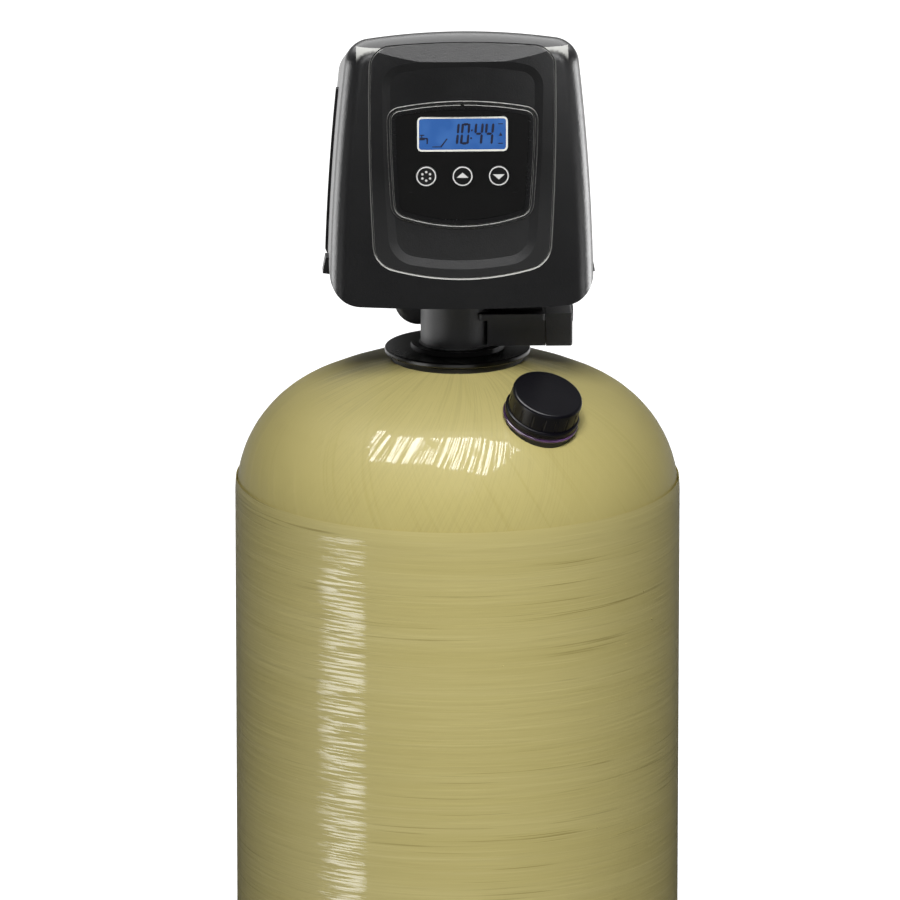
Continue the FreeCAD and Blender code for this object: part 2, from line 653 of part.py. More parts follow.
def circles_meet(c1, r1, c2, r2, upper):
    dx, dz = c2[0] - c1[0], c2[1] - c1[1]
    d = math.hypot(dx, dz)
    a = (r1 * r1 - r2 * r2 + d * d) / (2 * d)
    h = math.sqrt(r1 * r1 - a * a)
    mx, mz = c1[0] + a * dx / d, c1[1] + a * dz / d
    points = sorted([(mx + h * dz / d, mz - h * dx / d), (mx - h * dz / d, mz + h * dx / d)],
                    key=lambda p: p[1])
    return points[1] if upper else points[0]


def towards(c, p, r):
    d = math.hypot(p[0] - c[0], p[1] - c[1])
    return c[0] + (p[0] - c[0]) * r / d, c[1] + (p[1] - c[1]) * r / d


def shield(y, half, side_z, side_r, top_z, top_r, bot_z, bot_r, r_top, r_bot, inset=0.0):
    """A symmetrical outline of eight arcs that run smoothly into each other, in a plane of constant y.

    The sides, top and bottom are shallow arcs, and r_top and r_bot round the corners.
    """
    half, side_r, top_z, top_r = half - inset, side_r - inset, top_z - inset, top_r - inset
    bot_z, bot_r, r_top, r_bot = bot_z + inset, bot_r - inset, r_top - inset, r_bot - inset
    side_c, top_c, bot_c = (half - side_r, side_z), (0.0, top_z - top_r), (0.0, bot_z + bot_r)
    kt = circles_meet(top_c, top_r - r_top, side_c, side_r - r_top, True)
    kb = circles_meet(bot_c, bot_r - r_bot, side_c, side_r - r_bot, False)
    t1, t2 = towards(top_c, kt, top_r), towards(side_c, kt, side_r)
    b1, b2 = towards(side_c, kb, side_r), towards(bot_c, kb, bot_r)

    def middle(c, p, q, r):
        return towards(c, ((p[0] + q[0]) / 2, (p[1] + q[1]) / 2), r)

    tm, sm, bm = middle(kt, t1, t2, r_top), middle(side_c, t2, b1, side_r), middle(kb, b1, b2, r_bot)
    right = lambda p: V(p[0], y, p[1])
    left = lambda p: V(-p[0], y, p[1])
    arcs = [Part.Arc(left(t1), V(0, y, top_z), right(t1)), Part.Arc(right(t1), right(tm), right(t2)),
            Part.Arc(right(t2), right(sm), right(b1)), Part.Arc(right(b1), right(bm), right(b2)),
            Part.Arc(right(b2), V(0, y, bot_z), left(b2)), Part.Arc(left(b2), left(bm), left(b1)),
            Part.Arc(left(b1), left(sm), left(t2)), Part.Arc(left(t2), left(tm), left(t1))]
    return Part.Wire([arc.toShape() for arc in arcs])


def prism(outline, inset, y0, y1):
    return Part.Face(shield(y0, inset=inset, **outline)).extrude(V(0, y1 - y0, 0))


def bowed(depth):
    """Everything more than a depth behind the head's bowed front."""
    return Part.makeCylinder(HEAD_BOW_R - depth, 400, V(0, HEAD_FRONT_Y + HEAD_BOW_R, -60))


def head_section(y):
    k = (y - HEAD_FRONT_Y) / (HEAD_BACK_Y - HEAD_FRONT_Y)
    fall = (y - HEAD_FRONT_Y) * math.tan(math.radians(ROOF_FALL))
    return dict(half=HEAD_HALF - 0.5 * k, side_z=HEAD_SIDE_Z - 60 * k,
                side_r=HEAD_SIDE_R + 350 * k, top_z=HEAD_TOP_Z - fall, top_r=HEAD_TOP_R,
                bot_z=30.0, bot_r=3000.0, r_top=HEAD_CORNER_R, r_bot=18.0)


def head_form(inset):
    """The whole head, cover and rear housing, as one rounded solid open to below."""
    ends = [HEAD_FRONT_Y - 3, HEAD_BACK_Y - inset]
    form = Part.makeLoft([shield(y, inset=inset, **head_section(y)) for y in ends], True, True)
    form = form.common(bowed(inset)).Solids[0]
    form = form.makeFillet(HEAD_EDGE_R - inset, edges_at(form, inset))
    low = dict(half=HEAD_HALF - 0.3, side_z=HEAD_SIDE_Z, side_r=3000.0, top_z=HEAD_TOP_Z + 60,
               top_r=HEAD_TOP_R, bot_z=HEAD_BOTTOM_Z, bot_r=3000.0, r_top=HEAD_CORNER_R,
               r_bot=HEAD_BOTTOM_CORNER_R)
    return form.common(prism(low, inset, HEAD_FRONT_Y - 5, HEAD_BACK_Y + 5))


def on_bow(outline, inset, depth):
    """The outline laid on the surface that lies a depth behind the head's bowed front."""
    reach = HEAD_BOW_R - depth
    edges = []
    for edge in shield(0.0, inset=inset, **outline).Edges:
        points = [V(p.x, HEAD_FRONT_Y + HEAD_BOW_R - math.sqrt(reach ** 2 - p.x ** 2), p.z)
                  for p in edge.discretize(9)]
        curve = Part.BSplineCurve()
        curve.interpolate(points)
        edges.append(curve.toShape())
    return Part.Wire(edges)


def sloped_form(outline, outer, inner, depth):
    """A form whose wall slopes in from one inset to the other over a depth, and then runs straight back."""
    rings = [shield(-160, inset=outer, **outline), on_bow(outline, outer, -0.1),
             on_bow(outline, inner, depth + 0.1), shield(-70, inset=inner, **outline)]
    return Part.makeLoft(rings, True, True)


def dish_form():
    """What the dish takes out of the panel, down to a floor that keeps the bow."""
    return sloped_form(DISH, -DISH_SLOPE / 2, DISH_SLOPE / 2, PANEL_DISH).cut(bowed(PANEL_DISH))


def edges_at(solid, depth):
    """Edges that lie wholly a depth behind the head's bowed front."""
    reach = HEAD_BOW_R - depth
    return [e for e in solid.Edges
            if all(abs(math.hypot(v.X, v.Y - HEAD_FRONT_Y - HEAD_BOW_R) - reach) < 1e-3
                   for v in e.Vertexes)]


def panel_front(depth):
    """Everything more than a depth behind the panel's face: bowed, and bent back at the crease."""
    a = math.radians(PANEL_SLOPE)
    crease_y = HEAD_FRONT_Y + 0.2
    n = V(0, -math.sin(a), math.cos(a))
    origin = V(0, crease_y, PANEL_CREASE_Z) - n * depth
    slab = Part.makeBox(400, 400, 200, V(-200, -200, 0))
    slab.Placement = FreeCAD.Placement(origin, FreeCAD.Rotation(V(0, 0, 1), n))
    return bowed(depth).cut(slab)


def opening_outline(grow):
    return {**BEZEL, "half": BEZEL["half"] + grow, "top_z": BEZEL["top_z"] + grow,
            "bot_z": BEZEL["bot_z"] - grow, "r_top": BEZEL["r_top"] + grow,
            "r_bot": BEZEL["r_bot"] + grow}


OUTER = {}


def head_shells():
    """The head's outside and inside forms, made once."""
    if not OUTER:
        OUTER["outside"], OUTER["inside"] = head_form(0.0), head_form(SHELL_WALL)
    return OUTER["outside"], OUTER["inside"]


def cover():
    outside, inside = head_shells()
    front = block(-200, 200, -200, SPLIT_Y, 0, 300)
    backing = prism(PANEL, -PANEL_GAP - SEAT_THICK, -160, -40)
    hollow = inside.cut(backing.cut(panel_front(PANEL_THICK + SEAT_THICK + 0.3)))
    shell = outside.common(front).cut(hollow)
    seat = sloped_form(PANEL, -PANEL_GAP - SEAT_LIP, -PANEL_GAP, SEAT_LIP)
    seat = seat.cut(panel_front(PANEL_THICK + 0.3))
    window = prism(BEZEL, -BEZEL_GAP, -160, -70)
    foot = HEAD_HALF - HEAD_BOTTOM_CORNER_R
    opening = block(-foot, foot, HEAD_FRONT_Y + 10, SPLIT_Y + 1, 40, HEAD_BOTTOM_Z + 4)
    ports = [block(side * 90 - 20, side * 90 + 20, LATCH_Y0 - LATCH_GAP, LATCH_Y1 + LATCH_GAP,
                   LATCH_Z0 - LATCH_GAP, LATCH_Z1 + LATCH_GAP) for side in (-1, 1)]
    return less(shell, seat, window, opening, *ports)


def front_panel():
    plate = prism(PANEL, 0, -160, -40).common(panel_front(0.0))
    edge = [e for e in plate.Edges if e.BoundBox.YMax < HEAD_FRONT_Y + 15
            and not (abs(e.CenterOfMass.z - PANEL_CREASE_Z) < 1 and e.BoundBox.XLength > PANEL["half"])]
    plate = plate.makeFillet(PANEL_EDGE_R, edge).cut(panel_front(PANEL_THICK))
    window = prism(BEZEL, -BEZEL_GAP, -160, -40)
    border = prism(BEZEL, -BEZEL_GAP - BORDER_W, -160, -40).cut(window)
    border = border.common(bowed(BORDER_DEPTH)).cut(bowed(PANEL_THICK))
    border = border.makeFillet(BORDER_EDGE_R, edges_at(border, BORDER_DEPTH))
    return joined(less(plate, dish_form(), window), border)


def latch(side):
    """A wedge in the cover's side wall. It is thin at the top and stands proud at its foot."""
    x_in, x_out = HEAD_HALF - 8.0, HEAD_HALF - 0.4 + LATCH_PROUD
    profile = [(x_in, LATCH_Z0), (x_out, LATCH_Z0 + 1.5), (x_out - 0.4, LATCH_Z0 + 4),
               (HEAD_HALF + 1.0, LATCH_Z1), (x_in, LATCH_Z1)]
    points = [V(side * x, LATCH_Y0, z) for x, z in profile]
    return Part.Face(Part.makePolygon(points + points[:1])).extrude(V(0, LATCH_Y1 - LATCH_Y0, 0))


def rear_cover():
    outside, inside = head_shells()
    y0 = SPLIT_Y + SPLIT_GAP
    rear = block(-200, 200, y0, 200, 0, 300)
    shell = outside.common(rear).cut(inside)
    cheeks = []
    for side in (-1, 1):
        pad = block(min(side * 60, side * 100), max(side * 60, side * 100), y0, y0 + 7,
                    CHEEK_Z0, CHEEK_Z1)
        cheeks.append(pad.common(head_form(-CHEEK_PROUD)).cut(inside))
    shell = joined(shell, *cheeks)
    foot = HEAD_HALF - HEAD_BOTTOM_CORNER_R
    opening = block(-foot, foot, y0 - 1, HEAD_BACK_Y - 6, 40, HEAD_BOTTOM_Z + 4)
    notch = block(-49, 49, HEAD_BACK_Y - 10, HEAD_BACK_Y + 5, 40, HEAD_BOTTOM_Z + 5)
    cord_hole = bar_y(7.3, -62, 74, HEAD_BACK_Y - 10, HEAD_BACK_Y + 5)
    screw_holes = [bar_y(2.2, x, 150, HEAD_BACK_Y - 10, HEAD_BACK_Y + 5) for x in (-66, 66)]
    vents = [block(-20, 20, HEAD_BACK_Y - 10, HEAD_BACK_Y + 5, z, z + 2.4)
             for z in (150, 156, 162, 168, 174)]
    posts = [bar_y(5, x, 150, 30, HEAD_BACK_Y - 1).cut(bar_y(2.2, x, 150, 20, 90))
             for x in (-66, 66)]
    return less(joined(shell, *posts), opening, notch, cord_hole, *screw_holes, *vents)


def cord_gland():
    stem = bar_y(7.1, -62, 74, HEAD_BACK_Y - 7, HEAD_BACK_Y + 1)
    flange = bar_y(9.5, -62, 74, HEAD_BACK_Y + 0.2, HEAD_BACK_Y + 2.6)
    nose = Part.makeCone(7.0, 5.2, 12, V(-62, HEAD_BACK_Y + 2.4, 74), V(0, 1, 0))
    return less(joined(stem, flange, nose), bar_y(3.6, -62, 74, 60, 100))


def rear_screws():
    screws = []
    for x in (-66, 66):
        shank = bar_y(2.0, x, 150, PLATE_Y0 + PLATE_THICK + 1, HEAD_BACK_Y + 0.3)
        head = bar_y(4.2, x, 150, HEAD_BACK_Y + 0.3, HEAD_BACK_Y + 2.8)
        slot = block(x - 5, x + 5, HEAD_BACK_Y + 1.6, HEAD_BACK_Y + 4, 149.5, 150.5)
        screws.append(joined(shank, head).cut(slot))
    return Part.makeCompound(screws)


# Display

def display_bezel():
    outer = prism(BEZEL, 0, -160, -60)
    frame = outer.common(bowed(BEZEL_DEPTH))
    frame = frame.makeFillet(BEZEL_EDGE_R, edges_at(frame, BEZEL_DEPTH)).cut(bowed(BEZEL_BACK))
    recess = prism(BEZEL, BEZEL_RIM, -160, -60).cut(bowed(LABEL_DEPTH + LABEL_THICK))
    lip = prism(BEZEL, BEZEL_RIM - 0.9, -160, -60).cut(bowed(BEZEL_DEPTH + 0.4))
    lcd = lcd_prism(0.4, -160, -60)
    keys = [bar_y(KEY_R + KEY_GAP, x, KEY_Z, -160, -60) for x in key_places()]
    notches = [bar_y(NOTCH_R, 0, z, -160, HEAD_FRONT_Y + 1.6)
               for z in (BEZEL["top_z"] - 1.2, BEZEL["bot_z"] + 1.2)]
    back = block(-70, 70, TIMER_Y0 - 0.3, 0, 0, 300)
    return less(frame, recess, lip, lcd, back, *keys, *notches)


def key_places():
    return [i * KEY_PITCH for i in (-1, 0, 1)]


def lcd_prism(grow, y0, y1):
    solid = block(-LCD_HALF - grow, LCD_HALF + grow, y0, y1, LCD_Z0 - grow, LCD_Z1 + grow)
    along = [e for e in solid.Edges if e.BoundBox.YLength > 1]
    return solid.makeFillet(LCD_CORNER_R + min(grow, 0), along)


def label_panel():
    outline = prism(BEZEL, BEZEL_RIM + LABEL_GAP, -160, -60)
    sheet = outline.common(bowed(LABEL_DEPTH)).cut(bowed(LABEL_DEPTH + LABEL_THICK - 0.05))
    keys = [bar_y(KEY_R + KEY_GAP, x, KEY_Z, -160, -60) for x in key_places()]
    return less(sheet, lcd_prism(0.0, -160, -60), *keys)


def lcd_glass():
    front = HEAD_FRONT_Y + LABEL_DEPTH + 1.1
    glass = lcd_prism(-0.2, front, front + 3.2)
    rear = block(-LCD_HALF - LCD_MARGIN, LCD_HALF + LCD_MARGIN, TIMER_Y0 + 1.9, BOARD_Y - 0.1,
                 LCD_Z0 - LCD_MARGIN, LCD_Z1 + LCD_MARGIN)
    neck = lcd_prism(-1.0, front + 3, TIMER_Y0 + 2.2)
    return joined(glass, neck, rear)


def button(index):
    x = key_places()[index]
    front = HEAD_FRONT_Y + LABEL_DEPTH - 0.5 + x * x / (2 * HEAD_BOW_R)
    cap = bar_y(KEY_R, x, KEY_Z, front, front + 5.2)
    edge = [e for e in outer_edges(cap, KEY_R) if e.BoundBox.YMax < front + 0.5]
    cap = cap.makeFillet(0.6, edge)
    stem = bar_y(KEY_STEM_R, x, KEY_Z, front + 5, BOARD_Y - KEY_TRAVEL - 3.5)
    return joined(cap, stem)


def timer_housing():
    outline = dict(half=TIMER_HALF, side_z=150.0, side_r=2000.0, top_z=TIMER_Z1, top_r=600.0,
                   bot_z=TIMER_Z0, bot_r=600.0, r_top=10.0, r_bot=10.0)
    box = prism(outline, 0, TIMER_Y0, TIMER_Y1)
    hollow = prism(outline, 1.8, TIMER_Y0 + 1.8, TIMER_Y1 + 1)
    lcd = lcd_prism(0.6, TIMER_Y0 - 1, TIMER_Y0 + 3)
    stems = [bar_y(KEY_STEM_R + 0.5, x, KEY_Z, TIMER_Y0 - 1, TIMER_Y0 + 3) for x in key_places()]
    bosses = [bar_y(4.5, x, z, TIMER_Y0 + 1, TIMER_Y1) for x, z in timer_posts()]
    holes = [bar_y(1.9, x, z, BOARD_Y, TIMER_Y1 + 1) for x, z in timer_posts()]
    return less(joined(less(box, hollow), *bosses), lcd, *stems, *holes)


def timer_posts():
    return [(x, z) for x in (-45.0, 45.0) for z in (114.5, 190.0)]


def timer_screws():
    screws = [bar_y(1.8, x, z, TIMER_Y1 - 10, PLATE_Y0 - 1) for x, z in timer_posts()]
    return Part.makeCompound([s.common(bar_y(1.8, x, z, TIMER_Y1 - 10, TIMER_Y1 + 10))
                              for s, (x, z) in zip(screws, timer_posts())])


def circuit_board():
    y1 = BOARD_Y + 1.6
    board = block(-TIMER_HALF + 5, TIMER_HALF - 5, BOARD_Y, y1, TIMER_Z0 + 6, TIMER_Z1 - 7)
    domes = [bar_y(3.0, x, KEY_Z, BOARD_Y - 3, BOARD_Y + 0.1) for x in key_places()]
    chips = [block(-24, -10, y1 - 0.1, y1 + 2.0, 150, 164), block(4, 30, y1 - 0.1, y1 + 8, 128, 138),
             bar_y(5.0, 20, 165, y1 - 0.1, y1 + 10), bar_y(3.4, -26, 132, y1 - 0.1, y1 + 8)]
    bossed = [bar_y(5.0, x, z, BOARD_Y - 1, y1 + 1) for x, z in timer_posts()]
    return less(joined(board, *domes, *chips), *bossed)


# Drive

def gear_outline(teeth, module, shrink):
    """Corners of a gear's outline in the XZ plane, with a tooth on +X."""
    pitch_r = teeth * module / 2
    root_r, tip_r = pitch_r - 1.2 * module, pitch_r + 0.9 * module
    half_root = 0.96 * module - shrink
    half_pitch, half_tip = math.pi * module / 4 - shrink, 0.42 * module - shrink * 0.3
    points = []
    for i in range(teeth):
        a = 2 * math.pi * i / teeth
        for r, h in ((root_r, -half_root), (pitch_r, -half_pitch), (tip_r, -half_tip),
                     (tip_r, half_tip), (pitch_r, half_pitch), (root_r, half_root)):
            b = a + h / r
            points.append((r * math.cos(b), r * math.sin(b)))
    return points


def gear_blank(teeth, x, z, y0, y1, turn):
    c, s = math.cos(turn), math.sin(turn)
    points = [V(x + px * c - pz * s, y0, z + px * s + pz * c)
              for px, pz in gear_outline(teeth, MODULE, BACKLASH)]
    return Part.Face(Part.makePolygon(points + points[:1])).extrude(V(0, y1 - y0, 0))


def pinion_place():
    reach = (GEAR_TEETH + PINION_TEETH) * MODULE / 2
    a = math.radians(MOTOR_ANGLE)
    return reach * math.cos(a), GEAR_Z + reach * math.sin(a)


def drive_gear():
    tooth_turn = math.radians(MOTOR_ANGLE)
    gear = gear_blank(GEAR_TEETH, 0, GEAR_Z, GEAR_Y0, GEAR_Y1, tooth_turn)
    dish = bar_y(26, 0, GEAR_Z, GEAR_Y0 - 1, GEAR_Y0 + 1.6).cut(
        bar_y(CRANK_R + 6, 0, GEAR_Z, GEAR_Y0 - 2, GEAR_Y0 + 3))
    cam = bar_y(CAM_R, 0, GEAR_Z, GEAR_Y1 - 0.1, GEAR_Y1 + 3.4)
    notches = [bar_y(3.0, CAM_R * math.cos(a), GEAR_Z + CAM_R * math.sin(a), GEAR_Y1, 20)
               for a in (math.radians(90), math.radians(215), math.radians(330))]
    pin = bar_y(CRANK_PIN_R, 0, GEAR_Z - CRANK_R, LINK_Y1 + CRANK_GAP, GEAR_Y0 + 0.1)
    pin = pin.makeFillet(0.6, [e for e in outer_edges(pin, CRANK_PIN_R)
                               if e.BoundBox.YMax < LINK_Y1 + 1])
    blank = joined(less(gear, dish), less(cam, *notches), pin)
    return less(blank, bar_y(SPINDLE_R + RUNNING, 0, GEAR_Z, GEAR_Y0 - 1, 20))


def motor_pinion():
    x, z = pinion_place()
    gap_turn = math.radians(MOTOR_ANGLE) + math.pi + math.pi / PINION_TEETH
    pinion = gear_blank(PINION_TEETH, x, z, GEAR_Y0 + 0.5, GEAR_Y1 - 0.5, gap_turn)
    shaft = bar_y(3.0, x, z, GEAR_Y0, PLATE_Y0 + PLATE_THICK + 1.6)
    return joined(pinion, shaft)


def motor():
    x, z = pinion_place()
    y0 = PLATE_Y0 + PLATE_THICK + 0.3
    can = bar_y(MOTOR_R, x, z, y0 + 1.2, y0 + MOTOR_H)
    can = can.makeFillet(2.5, [e for e in outer_edges(can, MOTOR_R) if e.BoundBox.YMin > y0 + 9])
    face = rounded_ears(x, z, y0)
    gearbox = bar_y(10, x, z, y0 + MOTOR_H - 0.2, y0 + MOTOR_H + 3)
    terminal = block(x - 7, x + 7, y0 + 8, y0 + 22, z + MOTOR_R - 3, z + MOTOR_R + 5)
    body = joined(can, face, gearbox, terminal)
    return less(body, bar_y(3.0 + RUNNING, x, z, y0 - 1, y0 + 6))


def rounded_ears(x, z, y0):
    bar = block(x - 30, x + 30, y0, y0 + 1.4, z - 6, z + 6)
    ends = [bar_y(6, x + side * 30, z, y0, y0 + 1.4) for side in (-1, 1)]
    holes = [bar_y(1.8, x + side * 30, z, y0 - 1, y0 + 3) for side in (-1, 1)]
    return less(joined(bar, *ends), *holes)


def motor_screws():
    x, z = pinion_place()
    y0 = PLATE_Y0 + PLATE_THICK + 0.3
    screws = []
    for side in (-1, 1):
        head = bar_y(3.0, x + side * 30, z, y0 + 1.6, y0 + 3.8)
        shank = bar_y(1.7, x + side * 30, z, PLATE_Y0 + 0.5, y0 + 1.7)
        screws.append(joined(head, shank))
    return Part.makeCompound(screws)


def spindle_clip():
    ring = bar_y(SPINDLE_R + 3, 0, GEAR_Z, GEAR_Y0 - 1.9, GEAR_Y0 - 0.9)
    return less(ring, bar_y(SPINDLE_R - 0.6, 0, GEAR_Z, 0, 10),
                block(-2.4, 2.4, 0, 10, GEAR_Z - 10, GEAR_Z))


def back_plate():
    _, inside = head_shells()
    y1 = PLATE_Y0 + PLATE_THICK
    form = head_form(SHELL_WALL + 0.5)
    plate = form.common(block(-200, 200, PLATE_Y0, y1, SHELF_Z, 300))
    shelf = rounded_block(-39, 39, -24, PLATE_Y0 + 1, SHELF_Z, SHELF_Z + SHELF_THICK, 6)
    gusset_points = [V(0, PLATE_Y0 + 0.5, SHELF_Z + 2), V(0, -14, SHELF_Z + 2),
                     V(0, PLATE_Y0 + 0.5, SHELF_Z + 26)]
    gusset = Part.Face(Part.makePolygon(gusset_points + gusset_points[:1])).extrude(V(2.6, 0, 0))
    gussets = [gusset.translated(V(x - 1.3, 0, 0)) for x in (-36.6, 36.6)]
    posts = [bar_y(4.0, x, z, TIMER_Y1 + 0.3, PLATE_Y0 + 1) for x, z in timer_posts()]
    collars = [bar_y(5.2, x, z, PLATE_Y0 - 8, PLATE_Y0 + 1) for x, z in timer_posts()]
    spindle = bar_y(SPINDLE_R, 0, GEAR_Z, GEAR_Y0 - 2.4, PLATE_Y0 + 1)
    boss = bar_y(7, 0, GEAR_Z, GEAR_Y1 + 3.9, PLATE_Y0 + 1)
    ribs = [block(-78, -30, y1 - 0.5, y1 + 2.4, z, z + 2.2) for z in (96, 120)]
    plate = joined(plate, shelf, *gussets, *posts, *collars, spindle, boss, *ribs)
    x, z = pinion_place()
    cuts = [tube(BORE_R + 3.4, 0, SHELF_Z - 1, SHELF_Z + SHELF_THICK + 1),
            bar_y(SPINDLE_R + 1, 0, GEAR_Z, GEAR_Y0 - 1.95, GEAR_Y0 - 0.85).cut(
                bar_y(SPINDLE_R - 0.7, 0, GEAR_Z, 0, 10)),
            bar_y(4.2, x, z, 0, 40)]
    cuts += [bar_y(1.8, x + side * 30, z, 15, 30) for side in (-1, 1)]
    cuts += [bar_y(1.9, px, pz, TIMER_Y1 - 5, TIMER_Y1 + 12) for px, pz in timer_posts()]
    cuts += [tube(2.0, 0, SHELF_Z - 1, SHELF_Z + SHELF_THICK + 1, sx, 0) for sx in (-31.0, 31.0)]
    cuts.append(bar_y(3.2, -62, 84, PLATE_Y0 - 1, y1 + 4))
    return less(plate, *cuts)


def mount_screws():
    screws = []
    for x in (-31.0, 31.0):
        shank = tube(1.65, 0, BODY_H - 12, SHELF_Z + SHELF_THICK + 0.4, x, 0)
        head = tube(3.8, 0, SHELF_Z + SHELF_THICK + 0.3, SHELF_Z + SHELF_THICK + 3.2, x, 0)
        slot = block(x - 5, x + 5, -0.5, 0.5, SHELF_Z + SHELF_THICK + 2.2, SHELF_Z + 9)
        screws.append(joined(shank, head).cut(slot))
    return Part.makeCompound(screws)


def switch_places():
    return [GEAR_Z - 10.4, GEAR_Z + 10.4]


def microswitches():
    """Two switches behind the gear's rim. Each plunger stops just short of the cam."""
    y0, y1 = GEAR_Y1 + 0.7, PLATE_Y0 - 0.3
    middle = (y0 + y1) / 2
    x_in, x_out = -CAM_R - 1.4, -CAM_R - 11.6
    switches = []
    for z, dz in zip(switch_places(), (7.5, -7.5)):
        case = block(x_out, x_in, y0, y1, z - 10, z + 10)
        reach = math.sqrt(CAM_R ** 2 - (z + dz - GEAR_Z) ** 2) + 0.7
        plunger = bar_x(1.2, middle, z + dz, x_in - 0.5, -reach)
        blades = [block(x_out - 3.4, x_out + 0.2, middle - 0.4, middle + 0.4,
                        z + step - 1.5, z + step + 1.5) for step in (-7, 0, 7)]
        holes = [bar_y(1.4, x_out + 5, z + step, y0 - 1, y1 + 1) for step in (-5, 5)]
        switches.append(less(joined(case, plunger, *blades), *holes))
    return Part.makeCompound(switches)


def switch_bracket():
    """A strip along the switches' backs, with pegs' lugs that bolt to the plate."""
    y0, y1 = GEAR_Y1 + 0.5, PLATE_Y0 - 0.1
    x0, x1 = -CAM_R - 13.4, -CAM_R - 11.8
    strip = block(x0, x1, y0, y1, GEAR_Z - 22, GEAR_Z + 22)
    lugs = [block(x0, -CAM_R - 4, y1 - 1.6, y1, z0, z0 + 6.0)
            for z0 in (GEAR_Z - 27.2, GEAR_Z + 21.2)]
    middle = (GEAR_Y1 + 0.7 + PLATE_Y0 - 0.3) / 2
    blade_slots = [block(x0 - 1, x1 + 1, middle - 0.9, middle + 0.9, z + step - 2, z + step + 2)
                   for z in switch_places() for step in (-7, 0, 7)]
    strip = less(strip, *blade_slots)
    holes = [bar_y(1.5, -CAM_R - 8, z0 + 3, y1 - 3, y1 + 1)
             for z0 in (GEAR_Z - 27.2, GEAR_Z + 21.2)]
    return less(joined(strip, *lugs), *holes)


HEAD_PARTS = {
    "tank_adapter": tank_adapter, "riser_oring": riser_oring, "oring_retainer": oring_retainer,
    "tank_oring": tank_oring, "valve_body": valve_body, "valve_seals": valve_seals,
    "seal_spacers": seal_spacers, "end_plug": end_plug, "piston": piston, "piston_rod": piston_rod,
    "piston_link": piston_link, "injector_body": injector_body, "injector_cap": injector_cap,
    "injector_screws": injector_screws, "blank_plug": blank_plug, "drain_fitting": drain_fitting,
    "drain_washer": drain_washer, "drain_clip": drain_clip, "cover": cover,
    "front_panel": front_panel, "latch_left": lambda: latch(-1), "latch_right": lambda: latch(1),
    "rear_cover": rear_cover, "cord_gland": cord_gland, "rear_screws": rear_screws,
    "display_bezel": display_bezel, "label_panel": label_panel, "lcd_glass": lcd_glass,
    "button_set": lambda: button(0), "button_up": lambda: button(1),
    "button_down": lambda: button(2), "timer_housing": timer_housing,
    "timer_screws": timer_screws, "circuit_board": circuit_board, "drive_gear": drive_gear,
    "motor_pinion": motor_pinion, "motor": motor, "motor_screws": motor_screws,
    "spindle_clip": spindle_clip, "back_plate": back_plate, "mount_screws": mount_screws,
    "microswitches": microswitches, "switch_bracket": switch_bracket,
}

TANK_PARTS = {
    "tank_base": tank_base,
    "tank_liner": lambda: tank_layer(HELIX_THICK + LAYER_GAP,
                                     HELIX_THICK + LAYER_GAP + LINER_THICK),
    "helical_winding": lambda: tank_layer(0.0, HELIX_THICK), "hoop_winding": hoop_winding,
    "neck_insert": neck_insert, "fill_port_insert": fill_port_insert, "riser_tube": riser_tube,
    "lower_distributor": lower_distributor, "upper_basket": upper_basket,
    "gravel_bed": gravel_bed, "calcite_bed": calcite_bed, "fill_seal": fill_seal,
    "plug_washer": plug_washer, "fill_plug": fill_plug,
}

for name, make in TANK_PARTS.items():
    save(name, make())
for name, make in HEAD_PARTS.items():
    save(name, raised(make()))
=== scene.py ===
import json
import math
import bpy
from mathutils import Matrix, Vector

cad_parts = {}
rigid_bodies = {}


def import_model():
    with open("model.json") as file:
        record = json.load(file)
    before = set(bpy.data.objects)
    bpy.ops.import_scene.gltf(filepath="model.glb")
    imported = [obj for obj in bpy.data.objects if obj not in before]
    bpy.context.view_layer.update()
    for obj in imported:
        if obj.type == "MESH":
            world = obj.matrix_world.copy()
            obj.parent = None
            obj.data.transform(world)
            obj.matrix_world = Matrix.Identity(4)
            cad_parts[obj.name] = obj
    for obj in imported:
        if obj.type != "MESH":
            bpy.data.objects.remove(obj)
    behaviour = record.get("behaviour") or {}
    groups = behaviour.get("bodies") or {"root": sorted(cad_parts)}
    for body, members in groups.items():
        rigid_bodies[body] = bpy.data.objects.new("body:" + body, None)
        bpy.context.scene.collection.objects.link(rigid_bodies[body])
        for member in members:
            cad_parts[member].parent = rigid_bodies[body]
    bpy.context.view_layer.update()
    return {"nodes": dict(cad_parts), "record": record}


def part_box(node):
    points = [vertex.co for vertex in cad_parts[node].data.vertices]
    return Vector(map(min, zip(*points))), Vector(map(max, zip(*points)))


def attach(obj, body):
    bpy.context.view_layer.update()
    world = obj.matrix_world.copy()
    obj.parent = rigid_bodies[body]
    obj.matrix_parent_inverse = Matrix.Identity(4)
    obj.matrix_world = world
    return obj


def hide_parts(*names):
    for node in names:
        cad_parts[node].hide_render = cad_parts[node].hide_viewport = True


bl_info = {
    "name": "Neutralizer Filter",
    "version": (1, 0, 0),
    "blender": (4, 5, 0),
    "location": "View3D > Sidebar > Filter",
    "description": "Finishes a wound filter tank and its backwash head over their CAD frame",
    "category": "Object",
}

import bmesh
import bpy
from mathutils import Vector

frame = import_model()
MM = 0.001

# Places read from the frame
FLANGE_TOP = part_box("tank_adapter")[1].z - 3 * MM
HEAD_FOOT = FLANGE_TOP + 20 * MM                      # what reaches over it is lit as the head
LINK_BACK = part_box("piston_link")[1].y - 0.2 * MM     # clear of the gear's face
LCD_LOW, LCD_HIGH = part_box("lcd_glass")
LCD_MID = (LCD_LOW.z + LCD_HIGH.z) / 2
GLASS_Y = LCD_LOW.y
HOOP_LOW, HOOP_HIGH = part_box("hoop_winding")
TANK_R = HOOP_HIGH.x

